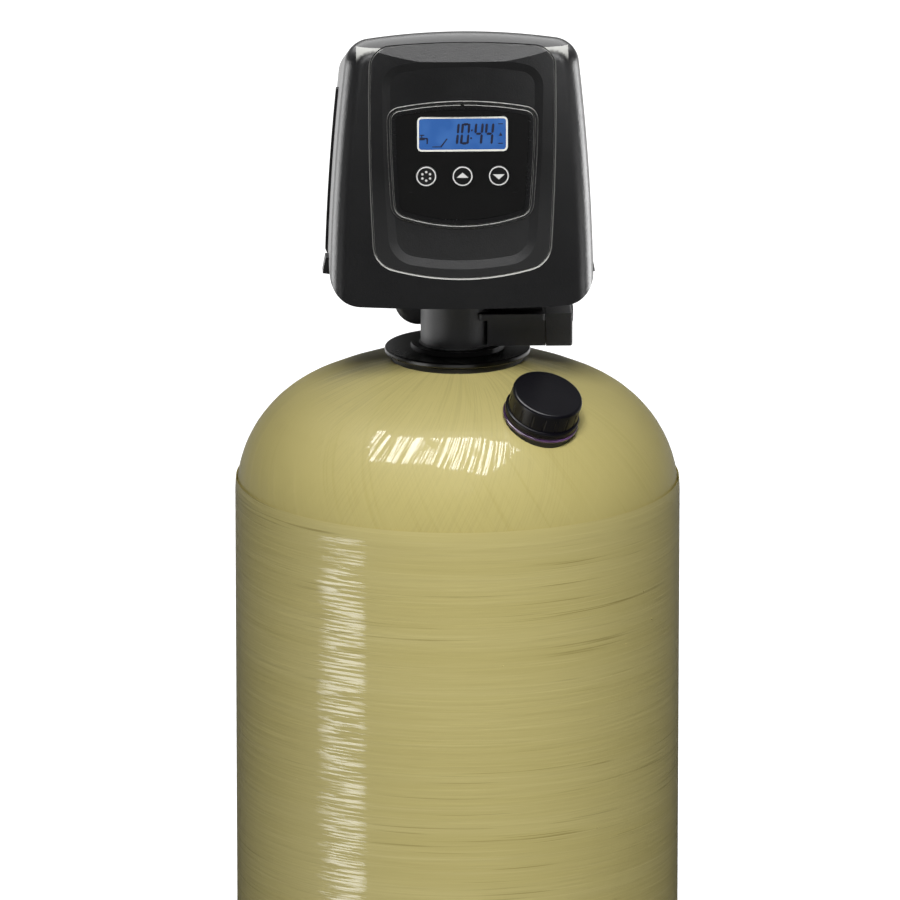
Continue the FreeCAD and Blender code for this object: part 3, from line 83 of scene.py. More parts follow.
WELD, SLIVER = 2e-6, 1e-7     # metres between merged points, and length of dissolved edges
HOOP_SEGMENTS = 216           # from 250 on, the band has over 200,000 triangles
BEAD_R = 0.55 * MM
PRINT = 0.09 * MM             # thickness of the keys' marks
PICTURE = 900                 # pixels across


def body_of(node):
    """The body that a CAD node rides on."""
    for body, nodes in frame["record"]["behaviour"]["bodies"].items():
        if node in nodes:
            return body
    raise KeyError(node)


def linear(red, green, blue):
    """A colour given in screen values from 0 to 255, as the linear values that a shader takes."""
    steps = [c / 255 for c in (red, green, blue)]
    return [c / 12.92 if c <= 0.04045 else ((c + 0.055) / 1.055) ** 2.4 for c in steps] + [1.0]


# Node trees

class Value:
    """A socket of a node tree that can be used in plain arithmetic."""

    def __init__(self, graph, socket):
        self.graph, self.socket = graph, socket

    def _maths(self, operation, *terms):
        return self.graph.value("ShaderNodeMath", {"operation": operation},
                                dict(enumerate(terms)))

    def __add__(self, other):
        return self._maths("ADD", self, other)

    __radd__ = __add__

    def __sub__(self, other):
        return self._maths("SUBTRACT", self, other)

    def __rsub__(self, other):
        return self._maths("SUBTRACT", other, self)

    def __mul__(self, other):
        return self._maths("MULTIPLY", self, other)

    __rmul__ = __mul__

    def __truediv__(self, other):
        return self._maths("DIVIDE", self, other)

    def __rtruediv__(self, other):
        return self._maths("DIVIDE", other, self)

    def sine(self):
        return self._maths("SINE", self)

    def cosine(self):
        return self._maths("COSINE", self)

    def root(self):
        return self._maths("SQRT", self)

    def floor(self):
        return self._maths("FLOOR", self)

    def absolute(self):
        return self._maths("ABSOLUTE", self)

    def above(self, limit):
        return self._maths("GREATER_THAN", self, limit)

    def below(self, limit):
        return self._maths("LESS_THAN", self, limit)

    def largest(self, other):
        return self._maths("MAXIMUM", self, other)

    def between(self, low, high, shape="SMOOTHSTEP"):
        """0 at low, 1 at high, and a smooth step between unless another shape is named."""
        return self.graph.value("ShaderNodeMapRange", {"interpolation_type": shape},
                                {0: self, 1: low, 2: high})

    def within(self, start, full, fading, end):
        """A smooth rise from start to full, and a smooth fall from fading to end."""
        return self.between(start, full) * (1 - self.between(fading, end))


class Graph:
    """A node tree under construction."""

    def node(self, kind, settings=None, inputs=None):
        """A node of a type, with its settings and the values or links of its sockets."""
        made = self.tree.nodes.new(kind)
        for key, value in (settings or {}).items():
            setattr(made, key, value)
        for key, value in (inputs or {}).items():
            source = value.socket if isinstance(value, Value) else value
            if isinstance(source, bpy.types.NodeSocket):
                self.tree.links.new(source, made.inputs[key])
            else:
                made.inputs[key].default_value = source
        return made

    def value(self, kind, settings=None, inputs=None, output=0):
        """One output of a new node, ready for arithmetic."""
        return Value(self, self.node(kind, settings, inputs).outputs[output])

    def vector(self, x, y, z):
        return self.value("ShaderNodeCombineXYZ", None, {0: x, 1: y, 2: z})

    def split(self, vector):
        """The x, y and z of a vector."""
        made = self.node("ShaderNodeSeparateXYZ", None, {0: vector})
        return [Value(self, made.outputs[i]) for i in range(3)]


class Paint(Graph):
    """A material, or a world, under construction."""

    def __init__(self, name, store=None):
        self.made = (bpy.data.materials if store is None else store).new(name)
        self.made.use_nodes = True
        self.tree = self.made.node_tree
        self.tree.nodes.clear()

    def coordinates(self, kind):
        """Texture coordinates of a kind, as x, y and z."""
        return self.split(self.value("ShaderNodeTexCoord", output=kind))

    def place(self):
        """The place on the piece, as x, y and z."""
        return self.coordinates("Object")

    def rays(self):
        """Whether a ray comes from the camera, from a gloss or through something clear."""
        path = self.node("ShaderNodeLightPath")
        return [Value(self, path.outputs[kind])
                for kind in ("Is Camera Ray", "Is Glossy Ray", "Is Transmission Ray")]

    def noise(self, at, scale=1.0, detail=2.0, rough=0.55):
        """Cloudy values round 0.5 at a place of x, y and z."""
        return self.value("ShaderNodeTexNoise", None,
                          {"Vector": self.vector(*at), "Scale": scale, "Detail": detail,
                           "Roughness": rough}, "Fac")

    def blend(self, share, first, second):
        """Mixes two colours by a share from 0 to 1."""
        return self.value("ShaderNodeMix", {"data_type": "RGBA"},
                          {0: share, 6: first, 7: second}, 2)

    def relief(self, height, strength, depth):
        """The surface's direction over small ups and downs."""
        return self.value("ShaderNodeBump", None,
                          {"Height": height, "Strength": strength, "Distance": depth})

    def mix_surfaces(self, share, first, second):
        return self.node("ShaderNodeMixShader", None,
                         {0: share, 1: first.outputs[0], 2: second.outputs[0]})

    def end_with(self, surface, output="ShaderNodeOutputMaterial"):
        self.node(output, None, {"Surface": surface.outputs[0]})
        return self.made

    def finish(self, **sockets):
        """Ends in one Principled surface. An underscore stands for a space in a socket's name."""
        values = {name.replace("_", " "): value for name, value in sockets.items()}
        return self.end_with(self.node("ShaderNodeBsdfPrincipled", None, values))


# Finishes

def hoop_laminate(tan, olive):
    """Resin over level glass bands: fine level threads, with thin lines of bare wet resin."""
    p = Paint("hoop_laminate")
    x, y, z = p.place()

    def streaks(across, up, detail=2.0, rough=0.55):
        """Level streaks, about so many to a metre across and up."""
        return p.noise((x * across, y * across, z * up), detail=detail, rough=rough)

    thread = streaks(9, 900, detail=3.0, rough=0.6)
    band = streaks(14, 300, rough=0.5)
    lap = streaks(2.5, 60, detail=3.0, rough=0.6)
    broad = streaks(6, 12)
    line = streaks(6, 620, rough=0.6).between(0.60, 0.70)
    colour = p.blend(lap.between(0.35, 0.68) * 0.35, tan, olive)
    colour = p.blend(line * broad.between(0.4, 0.6) * 0.55, colour, linear(118, 106, 50))
    colour = p.blend(thread.between(0.5, 0.72) * 0.3, colour, linear(200, 190, 134))
    normal = p.relief(band + thread * 0.06 - line * 0.03, strength=0.8, depth=0.3 * MM)
    # Wet resin shines in short streaks, in one upright strip on the left of the front
    wet = streaks(24, 560, rough=0.5).between(0.47, 0.57)
    patch = streaks(14, 34).between(0.22, 0.44)
    patch = patch * (1 - z.between(HOOP_HIGH.z - 12 * MM, HOOP_HIGH.z - 5 * MM))
    uneven = x + 18 * MM * (band - 0.5)
    strip = uneven.within(-102 * MM, -88 * MM, -76 * MM, -62 * MM) * y.below(0.0)
    return p.finish(Base_Color=colour, Roughness=0.48 + 0.08 * band, Normal=normal,
                    Specular_IOR_Level=0.14, IOR=1.5, Coat_Weight=wet * patch * strip,
                    Coat_Roughness=0.1)


def helical_laminate(tan, olive):
    """Resin over steep crossing glass bands, which wind up to the neck."""
    p = Paint("helical_laminate")
    x, y, z = p.place()
    reach = (x * x + y * y).root()

    def wound(turn):
        """A place round the axis that turns with height, so that a streak runs as a helix."""
        angle = z * turn
        c, s = angle.cosine(), angle.sine()
        return (x * c - y * s) / reach, (x * s + y * c) / reach

    (ax, ay), (bx, by) = wound(3.4), wound(-3.4)
    one = p.noise((ax * 32, ay * 32, z * 9))
    two = p.noise((bx * 32, by * 32, z * 9 + 4))
    broad = p.noise((x, y, z), 9.0)
    pale = one.between(0.56, 0.76) + two.between(0.58, 0.78) * 0.4
    # Painted shade: the dome turns darker olive over its lowest 70 mm, next to the hoop.
    low = 1 - z.between(HOOP_HIGH.z, HOOP_HIGH.z + 70 * MM)
    colour = p.blend(broad.between(0.3, 0.7) * 0.35, tan, olive)
    colour = p.blend(low * 0.45, colour, olive)
    colour = p.blend(pale * 0.1, colour, linear(200, 190, 132))
    colour = p.blend((1 - one).between(0.55, 0.75) * 0.15, colour, linear(150, 138, 66))
    # Wet resin shines in steep streaks, on the middle of the front
    wet = p.noise((bx * 104, by * 104, z * 30), rough=0.5).between(0.51, 0.56)
    patch = p.noise((x, y, z), 55.0).between(0.30, 0.44)
    front = x.within(-110 * MM, -80 * MM, 60 * MM, 90 * MM) * y.below(0.0)
    return p.finish(Base_Color=colour, Roughness=0.46 + 0.08 * one,
                    Normal=p.relief(one * 0.7 + two * 0.15, strength=0.8, depth=0.4 * MM),
                    Specular_IOR_Level=0.12, IOR=1.5, Coat_Weight=wet * patch * front,
                    Coat_Roughness=0.06)


def moulded(name, colour, rough=0.45, grain=0.3, pitch=900.0, worn=0.0, polished=None,
            dull=0.0, gloss=0.5):
    """Moulded plastic with a fine even grain and slightly cloudy gloss.

    Where a box of (half width, low z, high z) is given, the small rounded edges that lie
    inside it in front view get a painted highlight: they are made pale, most of all those that
    look up.
    Dull adds roughness to the low part of the box, which fingers don't reach.
    """
    p = Paint(name)
    x, y, z = p.place()
    fine = p.noise((x, y, z), pitch, rough=0.5)
    cloud = p.noise((x, y, z), 22.0, detail=3.0, rough=0.5)
    paler = [min(1.0, c * 1.35 + 0.002) for c in colour[:3]] + [1.0]
    tint = p.blend(cloud.between(0.35, 0.7) * (0.25 + worn), colour, paler)
    # Painted highlight: the small rounded edges in the box are made pale, most of all those that
    # face up.
    if polished:
        half, low, high = polished
        _, outward, upward = p.coordinates("Normal")
        edge = (1 - outward.absolute()).within(0.10, 0.22, 0.80, 0.95)
        inside = x.absolute().below(half) * z.above(low) * z.below(high)
        painted_highlight = edge * inside * (0.35 + 0.65 * upward.between(0.2, 0.5))
        tint = p.blend(painted_highlight, tint, linear(176, 176, 172))
        rough = rough + dull * (1 - z.between(low + 20 * MM, low + 90 * MM))
    roughness = rough + 0.10 * (cloud - 0.5) + 0.08 * (fine - 0.5)
    return p.finish(Base_Color=tint, Roughness=roughness, IOR=1.5, Specular_IOR_Level=gloss,
                    Normal=p.relief(fine, strength=grain, depth=0.22 * MM))


def rubber(name, colour):
    """Dull rubber with a trace of talc."""
    p = Paint(name)
    talc = p.noise(p.place(), 140.0, detail=4.0, rough=0.6)
    tint = p.blend(talc.between(0.5, 0.75) * 0.4, colour, linear(60, 60, 58))
    return p.finish(Base_Color=tint, Roughness=0.62 + 0.2 * (talc - 0.5),
                    Normal=p.relief(talc, strength=0.2, depth=0.3 * MM), IOR=1.5)


def wet_seal():
    """A glossy dark seal ring. Its purple is partly its own tint and partly a painted glint on
    the rim.
    """
    p = Paint("seal_gloss")
    cloud = p.noise(p.place(), 60.0)
    # The purple tint is partly a painted glint.
    tint = p.blend(cloud.between(0.4, 0.7), linear(58, 36, 66), linear(96, 66, 108))
    return p.finish(Base_Color=tint, Roughness=0.16 + 0.1 * cloud, Coat_Weight=1.0,
                    Coat_Roughness=0.05, IOR=1.5)


def metal(name, colour, rough=0.3, lines=500.0):
    """Turned or rolled metal with fine lines."""
    p = Paint(name)
    x, y, z = p.place()
    line = p.noise((x * lines, y * 18, z * lines))
    stain = p.noise((x, y, z), 90.0, detail=3.0)
    tint = p.blend(stain.between(0.45, 0.75) * 0.35, colour, linear(140, 138, 132))
    return p.finish(Base_Color=tint, Metallic=1.0, Roughness=rough + 0.14 * (line - 0.5),
                    Normal=p.relief(line, strength=0.12, depth=0.2 * MM))


def mineral(name, light, dark, size):
    """Loose grains of stone."""
    p = Paint(name)
    grains = p.node("ShaderNodeTexVoronoi", None,
                    {"Vector": p.vector(*p.place()), "Scale": 1 / size})
    distance = Value(p, grains.outputs["Distance"])
    shade = p.value("ShaderNodeSeparateColor", None, {0: grains.outputs["Color"]})
    tint = p.blend(shade, light, dark)
    # Painted shade: darker towards each grain's edge, in the gaps between grains.
    tint = p.blend(distance.between(0.35, 0.75) * 0.6, tint, linear(70, 62, 52))
    return p.finish(Base_Color=tint, Roughness=0.85,
                    Normal=p.relief(1 - distance, strength=0.9, depth=size * 0.5))


def lit_glass(blue, edge):
    """The display's lit field: a slightly cloudy blue with a deeper rim."""
    p = Paint("lcd_blue")
    x, y, z = p.place()
    size, fade = LCD_HIGH - LCD_LOW, 1.2 * MM
    rim_x, rim_z = size.x / 2 - 5.2 * MM, size.z / 2 - 5.0 * MM
    rim = (x.absolute().between(rim_x, rim_x + fade)
           + (z - LCD_MID).absolute().between(rim_z, rim_z + fade))
    cloud = p.noise((x, y, z), 70.0, detail=1.0)
    tint = p.blend(rim.between(0.0, 1.0) * 0.55, blue, edge)
    tint = p.blend(cloud.between(0.4, 0.7) * 0.18, tint, linear(86, 134, 198))
    return p.finish(Base_Color=tint, Roughness=0.2, Emission_Color=tint, Emission_Strength=0.1,
                    Coat_Weight=0.4, Coat_Roughness=0.06)


def glossy_label(colour):
    """The printed film over the display frame: near black, glossy, with the odd hair scratch."""
    p = Paint("label_gloss")
    x, y, z = p.place()
    hair = p.noise((x * 40, y * 10, z * 900)).between(0.72, 0.8)
    cloud = p.noise((x, y, z), 45.0)
    tint = p.blend(hair * 0.25 + cloud * 0.12, colour, linear(26, 26, 26))
    return p.finish(Base_Color=tint, Roughness=0.2 + 0.12 * hair + 0.05 * cloud, IOR=1.48)


def ink(name, colour, glow=0.0):
    """Printed marks, a little thinner in specks."""
    p = Paint(name)
    speck = p.noise(p.place(), 1800.0)
    darker = [c * 0.86 for c in colour[:3]] + [1.0]
    tint = p.blend(speck.between(0.45, 0.7) * 0.5, colour, darker)
    return p.finish(Base_Color=tint, Roughness=0.42 + 0.1 * speck, Emission_Color=tint,
                    Emission_Strength=glow)


def board():
    """Green solder mask with paler tracks."""
    p = Paint("board_green")
    x, y, z = p.place()
    wave_x, wave_z = 2200, 700     # radians to a metre
    tracks = ((x * wave_x).sine() * (z * wave_z).sine()).between(0.35, 0.5)
    patch = p.noise((x, y, z), 60.0, detail=1.0).between(0.5, 0.6)
    tint = p.blend(tracks * patch, linear(22, 84, 48), linear(52, 128, 70))
    return p.finish(Base_Color=tint, Roughness=0.38 - 0.1 * patch,
                    Normal=p.relief(tracks * patch, strength=0.3, depth=0.1 * MM))


# Meshes

def link(name, mesh, material=None):
    """Puts a mesh in the scene as a piece, in one material where that is given."""
    piece = bpy.data.objects.new(name, mesh)
    bpy.context.scene.collection.objects.link(piece)
    if material:
        mesh.materials.clear()
        mesh.materials.append(material)
    return piece


def dress(node, material, crease=32.0):
    """A smooth-shaded skin over a CAD node, which it stands for."""
    mesh = frame["nodes"][node].data.copy()
    made = bmesh.new()
    made.from_mesh(mesh)
    bmesh.ops.remove_doubles(made, verts=made.verts, dist=WELD)
    bmesh.ops.dissolve_degenerate(made, edges=made.edges, dist=SLIVER)
    for face in made.faces:
        face.smooth = True
    made.to_mesh(mesh)
    made.free()
    for layer in list(mesh.attributes):
        if layer.name in ("custom_normal", "sharp_face"):
            mesh.attributes.remove(layer)
    mesh.set_sharp_from_angle(angle=math.radians(crease))
    piece = link(node + "_skin", mesh, material)
    even = piece.modifiers.new("even_normals", "WEIGHTED_NORMAL")
    even.keep_sharp = True
    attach(piece, body_of(node))
    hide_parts(node)
    return piece


def stored(made, mesh):
    """Ends the building of a closed form, with its faces turned outwards."""
    bmesh.ops.recalc_face_normals(made, faces=made.faces)
    made.to_mesh(mesh)
    made.free()
    return mesh


def bridge(made, first, second):
    """Faces between two loops of the same number of points."""
    for i, (a, b) in enumerate(zip(first, second)):
        j = (i + 1) % len(first)
        made.faces.new((a, first[j], second[j], b))


def oblong(x0, x1, z0, z1):
    return [(x0, z0), (x1, z0), (x1, z1), (x0, z1)]


def circle(x, z, r, count):
    turns = [2 * math.pi * i / count for i in range(count)]
    return [(x + r * math.cos(t), z + r * math.sin(t)) for t in turns]


def plate_mesh(name, outlines, front_y, thick):
    """Thin plates that face the front: each outline is a list of (x, z) points."""
    made = bmesh.new()
    for outline in outlines:
        front, back = [[made.verts.new((x, y, z)) for x, z in outline]
                       for y in (front_y, front_y + thick)]
        made.faces.new(front)
        made.faces.new(list(reversed(back)))
        bridge(made, front, back)
    return stored(made, bpy.data.meshes.new(name))


def plates(name, outlines, front_y, thick, material, body):
    """Flat marks as one piece."""
    piece = link(name, plate_mesh(name, outlines, front_y, thick), material)
    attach(piece, body)


def ring_mesh(name, x, z, r_out, r_in, front_y, thick, count=64):
    """A flat ring that faces the front."""
    made = bmesh.new()
    back_y = front_y + thick
    loops = [[made.verts.new((px, y, pz)) for px, pz in circle(x, z, r, count)]
             for r, y in ((r_out, front_y), (r_in, front_y), (r_in, back_y), (r_out, back_y))]
    for k in range(4):
        bridge(made, loops[k], loops[(k + 1) % 4])
    return stored(made, bpy.data.meshes.new(name))


def hoop_outline(ripple):
    """Outline of the hoop winding, with a low ridge at each band and ends that thin out."""
    low, high = HOOP_LOW.z, HOOP_HIGH.z
    pitch, fade, wall, thin = 11.0 * MM, 12.0 * MM, 0.8 * MM, 0.6 * MM
    rim = max(v.co.xy.length for v in frame["nodes"]["hoop_winding"].data.vertices
              if v.co.z > high - 0.01 * MM)
    inner = TANK_R - wall
    points = [(inner - thin, low + fade), (inner, low)]
    to_band, to_end = 4, 6     # steps from one ridge to the next, and in the thinning end
    step = pitch / to_band
    for i in range(int((high - low - 2 * fade) / step) + 1):
        dip = ripple * (1 - math.cos(2 * math.pi * i / to_band)) / 2
        points.append((TANK_R - dip, low + fade + i * step))
    for i in range(to_end + 1):
        share = i / to_end
        radius = rim + (TANK_R - rim) * math.cos(share * math.pi / 2) ** 0.8
        points.append((radius, high - fade * (1 - share)))
    points.append((rim - thin, high - 1.0 * MM))
    return points


def outer_faces(mesh):
    """A copy of the hoop band's mesh with only the faces on its outside."""
    copy = mesh.copy()
    made = bmesh.new()
    made.from_mesh(copy)
    inside = [f for f in made.faces if f.calc_center_median().xy.length < TANK_R - 0.5 * MM]
    bmesh.ops.delete(made, geom=inside, context="FACES")
    made.to_mesh(copy)
    made.free()
    return copy


# Geometry Nodes

class Recipe(Graph):
    """A Geometry Nodes tree under construction, with named inputs."""

    def __init__(self, name):
        self.tree = bpy.data.node_groups.new(name, "GeometryNodeTree")
        self.tree.is_modifier = True
        for way in ("INPUT", "OUTPUT"):
            self.tree.interface.new_socket("Geometry", in_out=way,
                                           socket_type="NodeSocketGeometry")
        self.start = self.tree.nodes.new("NodeGroupInput")
        self.end = self.tree.nodes.new("NodeGroupOutput")
        self.inputs = {}

    def setting(self, name, kind, default=None):
        """A named input, ready for arithmetic."""
        socket = self.tree.interface.new_socket(name, in_out="INPUT", socket_type=kind)
        if default is not None:
            socket.default_value = default
        self.inputs[name] = socket.identifier
        return Value(self, self.start.outputs[name])

    def close(self, geometry):
        """Makes the result real, in a material that is the last input."""
        real = self.node("GeometryNodeRealizeInstances", None, {0: geometry})
        material = self.setting("Material", "NodeSocketMaterial")
        painted = self.node("GeometryNodeSetMaterial", None,
                            {0: real.outputs[0], "Material": material})
        self.tree.links.new(painted.outputs[0], self.end.inputs[0])
        return self


def grown(name, source_mesh, recipe, values, body, smooth=True):
    """Runs a recipe over a mesh and keeps the result as a plain piece."""
    seed = link(name + "_seed", source_mesh)
    modifier = seed.modifiers.new("recipe", "NODES")
    modifier.node_group = recipe.tree
    for key, value in values.items():
        modifier[recipe.inputs[key]] = value
    bpy.context.view_layer.update()
    shown = seed.evaluated_get(bpy.context.evaluated_depsgraph_get())
    mesh = bpy.data.meshes.new_from_object(shown)
    bpy.data.objects.remove(seed)
    mesh.name = name
    for face in mesh.polygons:
        face.use_smooth = smooth
    piece = link(name, mesh)
    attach(piece, body)
    return piece


def lathe_recipe():
    """Turns a chain of points in the XZ plane about the Z axis.

    The chain's first and last points meet, so the surface is closed.
    """
    r = Recipe("lathe")
    rows = r.setting("Points", "NodeSocketInt", 16)
    segments = r.setting("Segments", "NodeSocketInt", HOOP_SEGMENTS)
    columns = segments + 1
    grid = r.node("GeometryNodeMeshGrid", None, {"Vertices X": rows, "Vertices Y": columns})
    index = r.value("GeometryNodeInputIndex")
    row = ((index + 0.5) / columns).floor()
    column = index - row * columns
    sample = r.value("GeometryNodeSampleIndex", {"data_type": "FLOAT_VECTOR"},
                     {"Geometry": r.start.outputs[0],
                      "Value": r.value("GeometryNodeInputPosition"), "Index": row})
    radius, _, height = r.split(sample)
    angle = column / segments * (2 * math.pi)
    point = r.vector(radius * angle.cosine(), radius * angle.sine(), height)
    moved = r.node("GeometryNodeSetPosition", None,
                   {"Geometry": grid.outputs[0], "Position": point})
    merged = r.node("GeometryNodeMergeByDistance", None,
                    {"Geometry": moved.outputs[0], "Distance": 1e-6})
    return r.close(merged.outputs[0])


def lathe(name, points, material, body, segments):
    """A turned piece from an outline of (radius, height) points, closed on itself."""
    around = points + [points[0]]
    chain = bpy.data.meshes.new(name + "_outline")
    chain.from_pydata([(r, 0.0, z) for r, z in around],
                      [(i, i + 1) for i in range(len(points))], [])
    values = {"Points": len(around), "Segments": segments, "Material": material}
    piece = grown(name, chain, lathe_recipe(), values, body)
    made = bmesh.new()
    made.from_mesh(piece.data)
    stored(made, piece.data).set_sharp_from_angle(angle=math.radians(35))
    return piece


def bead_recipe():
    """Scatters small flattened drops of resin over a surface."""
    r = Recipe("resin_beads")
    count = r.setting("Density", "NodeSocketFloat", 110.0)
    size = r.setting("Size", "NodeSocketFloat", BEAD_R)
    seed = r.setting("Seed", "NodeSocketInt", 4)
    points = r.node("GeometryNodeDistributePointsOnFaces", None,
                    {"Mesh": r.start.outputs[0], "Density": count, "Seed": seed})
    ball = r.node("GeometryNodeMeshIcoSphere", None, {"Radius": size, "Subdivisions": 2})
    wide = r.value("FunctionNodeRandomValue", {"data_type": "FLOAT"},
                   {2: 0.5, 3: 1.5, "Seed": seed}, 1)
    placed = r.node("GeometryNodeInstanceOnPoints", None,
                    {"Points": points.outputs["Points"], "Instance": ball.outputs["Mesh"],
                     "Rotation": points.outputs["Rotation"],
                     "Scale": r.vector(wide, wide, 0.35)})
    return r.close(placed.outputs[0])


def ring_recipe():
    """Repeats the source mesh evenly round a point, in a plane that faces the front."""
    r = Recipe("repeat_round")
    count = r.setting("Count", "NodeSocketInt", 6)
    radius = r.setting("Radius", "NodeSocketFloat", 3.0 * MM)
    centre = r.setting("Centre", "NodeSocketVector", (0.0, 0.0, 0.0))
    loop = r.node("GeometryNodeMeshCircle", None, {"Vertices": count, "Radius": radius})
    upright = r.node("GeometryNodeTransform", None,
                     {"Geometry": loop.outputs[0], "Translation": centre,
                      "Rotation": (math.pi / 2, math.pi / 6, 0.0)})
    placed = r.node("GeometryNodeInstanceOnPoints", None,
                    {"Points": upright.outputs[0], "Instance": r.start.outputs[0]})
    return r.close(placed.outputs[0])


# Outlines of the display's marks, as (x, z) points

LIT = {"0": "abcdef", "1": "bc", "2": "abged", "3": "abgcd", "4": "fgbc", "5": "afgcd",
       "6": "afgedc", "7": "abc", "8": "abcdefg", "9": "abcdfg"}


def leaning(points, foot_z, slant):
    """An outline that leans sideways with its height over the foot."""
    return [(x + (z - foot_z) * math.tan(slant), z) for x, z in points]


def digit(x, foot, wide, height, bar):
    """The seven segments of a digit: a at the top, then clockwise to f, and g in the middle."""
    cut, gap = bar / 2, height * 0.018

    def upright(px, z0, z1):
        return [(px - cut, z0 + cut + gap), (px, z0 + gap), (px + cut, z0 + cut + gap),
                (px + cut, z1 - cut - gap), (px, z1 - gap), (px - cut, z1 - cut - gap)]

    def level(z):
        x0, x1 = x + cut + gap, x + wide - cut - gap
        return [(x0, z), (x0 + cut, z - cut), (x1 - cut, z - cut), (x1, z),
                (x1 - cut, z + cut), (x0 + cut, z + cut)]

    left, right = x + cut, x + wide - cut
    middle, top = foot + height / 2, foot + height
    return {"a": level(top - cut), "b": upright(right, middle, top),
            "c": upright(right, foot, middle), "d": level(foot + cut),
            "e": upright(left, foot, middle), "f": upright(left, middle, top),
            "g": level(middle)}


def seven_segments(text, height, slant):
    """The lit segments of a time such as 10:44."""
    wide, bar = height * 0.40, height * 0.11
    foot, x = LCD_MID - height * 0.49, -9.0 * MM
    outlines = []
    for sign in text:
        if sign == ":":
            for level in (0.30, 0.66):
                z = foot + height * level
                outlines.append(oblong(x - bar * 0.3, x + bar * 0.4, z - bar * 0.4,
                                       z + bar * 0.4))
            x += bar * 1.15
        else:
            shapes = digit(x, foot, wide, height, bar)
            outlines += [shapes[letter] for letter in LIT[sign]]
            x += wide + bar * 0.72
    return [leaning(outline, foot, slant) for outline in outlines]


def tap_mark(x, z):
    """A small tap: its pipe, its bent spout, its stem and its handle."""
    boxes = [(-3.4, 1.6, -0.9, 0.9), (1.6, 3.6, -0.2, 0.7), (2.7, 3.7, -3.6, -0.1),
             (-0.9, -0.1, 0.9, 2.2), (-2.3, 1.3, 2.2, 2.9)]
    return [oblong(x + a * MM, x + b * MM, z + c * MM, z + d * MM) for a, b, c, d in boxes]


def corner_marks():
    """Small marks at the field's right edge: a triangle between two short bars."""
    x, half, thin = 25.9 * MM, 1.6 * MM, 0.3 * MM
    foot, tip = LCD_MID - 1.5 * MM, LCD_MID + 1.3 * MM
    high, low = [oblong(x - half, x + half, z - thin, z + thin)
                 for z in (LCD_MID + 7.0 * MM, LCD_MID - 6.6 * MM)]
    return [high, [(x - 1.2 * MM, foot), (x + 1.2 * MM, foot), (x, tip)], low]


def slope_mark():
    """A level line that turns up at its end."""
    low, high, top = LCD_MID - 9.1 * MM, LCD_MID - 8.5 * MM, LCD_MID - 3.2 * MM
    line = [(-20.6 * MM, low), (-15.2 * MM, low), (-15.0 * MM, high), (-20.6 * MM, high)]
    rise = [(-15.4 * MM, low), (-14.2 * MM, low), (-9.9 * MM, top), (-11.1 * MM, top)]
    return [line, rise]


def border_strips():
    """The pale edge round the field, as four round corners and four straight strips."""
    half_w, half_h, r, wide = 30.8 * MM, 12.1 * MM, 3.2 * MM, 1.25 * MM

    def corner(cx, cz, radius, start):
        return [(cx + radius * math.cos(start + k * math.pi / 16),
                 LCD_MID + cz + radius * math.sin(start + k * math.pi / 16)) for k in range(9)]

    strips = []
    for k, (sx, sz) in enumerate(((1, 1), (-1, 1), (-1, -1), (1, -1))):
        start = k * math.pi / 2
        outer = corner(sx * (half_w - r), sz * (half_h - r), r, start)
        inner = corner(sx * (half_w - r), sz * (half_h - r), r - wide, start)
        strips.append(outer + list(reversed(inner)))
    for side in (-1, 1):
        z0, z1 = sorted((LCD_MID + side * half_h, LCD_MID + side * (half_h - wide)))
        strips.append(oblong(r - half_w, half_w - r, z0, z1))
    for side in (-1, 1):
        x0, x1 = sorted((side * half_w, side * (half_w - wide)))
        strips.append(oblong(x0, x1, LCD_MID - half_h + r, LCD_MID + half_h - r))
    return strips


# Stage

def floor():
    """A pale matt floor that shows white, apart from the object's shadow near its foot."""
    half = 60.0
    mesh = bpy.data.meshes.new("floor")
    mesh.from_pydata([(x, y, 0) for x, y in oblong(-half, half, -half, half)], [],
                     [(0, 1, 2, 3)])
    p = Paint("floor_pale")
    x, y, z = p.place()
    seen, shiny, through = p.rays()
    reach = x * x + y * y     # the distance from the axis, squared
    away = reach.between(0.2, 2.5)
    behind = reach.between(17.0, 25.0) * y.between(0.5, 2.5)
    matt = p.node("ShaderNodeBsdfDiffuse", None, {"Color": linear(130, 130, 129)})
    glow = p.node("ShaderNodeEmission", None, {"Color": (1, 1, 1, 1), "Strength": 1.3})
    share = seen * (0.6 + 0.4 * away) + shiny * behind + through
    link("floor", mesh, p.end_with(p.mix_surfaces(share, matt, glow)))


def around(azimuth, distance, height):
    """A place given by degrees to the right of the front, distance from the axis and height."""
    turn = math.radians(azimuth)
    return Vector((distance * math.sin(turn), -distance * math.cos(turn), height))


def pieces_group(name, of_head):
    """A collection of the head's pieces or of the others, for lamps that light only those."""
    group = bpy.data.collections.new(name)
    for piece in bpy.context.scene.objects:
        if piece.type == "MESH":
            top = max(v.co.z for v in piece.data.vertices)
            if (top > HEAD_FOOT) == of_head:
                group.objects.link(piece)
    return group


def soft_box(name, place, target, size, radiance, onto=None):
    """A soft box. Its power follows from its size and how bright its face looks.

    One that is for a group of pieces gives only their glosses, and the one that is for all
    gives only the matt light.
    """
    lamp = bpy.data.lights.new(name, "AREA")
    lamp.shape, lamp.size, lamp.size_y = "RECTANGLE", size[0], size[1]
    lamp.energy = radiance * math.pi * size[0] * size[1]
    holder = bpy.data.objects.new(name, lamp)
    holder.location = place
    aim = Vector(target) - Vector(place)
    holder.rotation_euler = aim.to_track_quat("-Z", "Y").to_euler()
    holder.visible_camera = False
    holder.visible_glossy, holder.visible_diffuse = bool(onto), not onto
    if onto:
        holder.light_linking.receiver_collection = onto
    bpy.context.scene.collection.objects.link(holder)


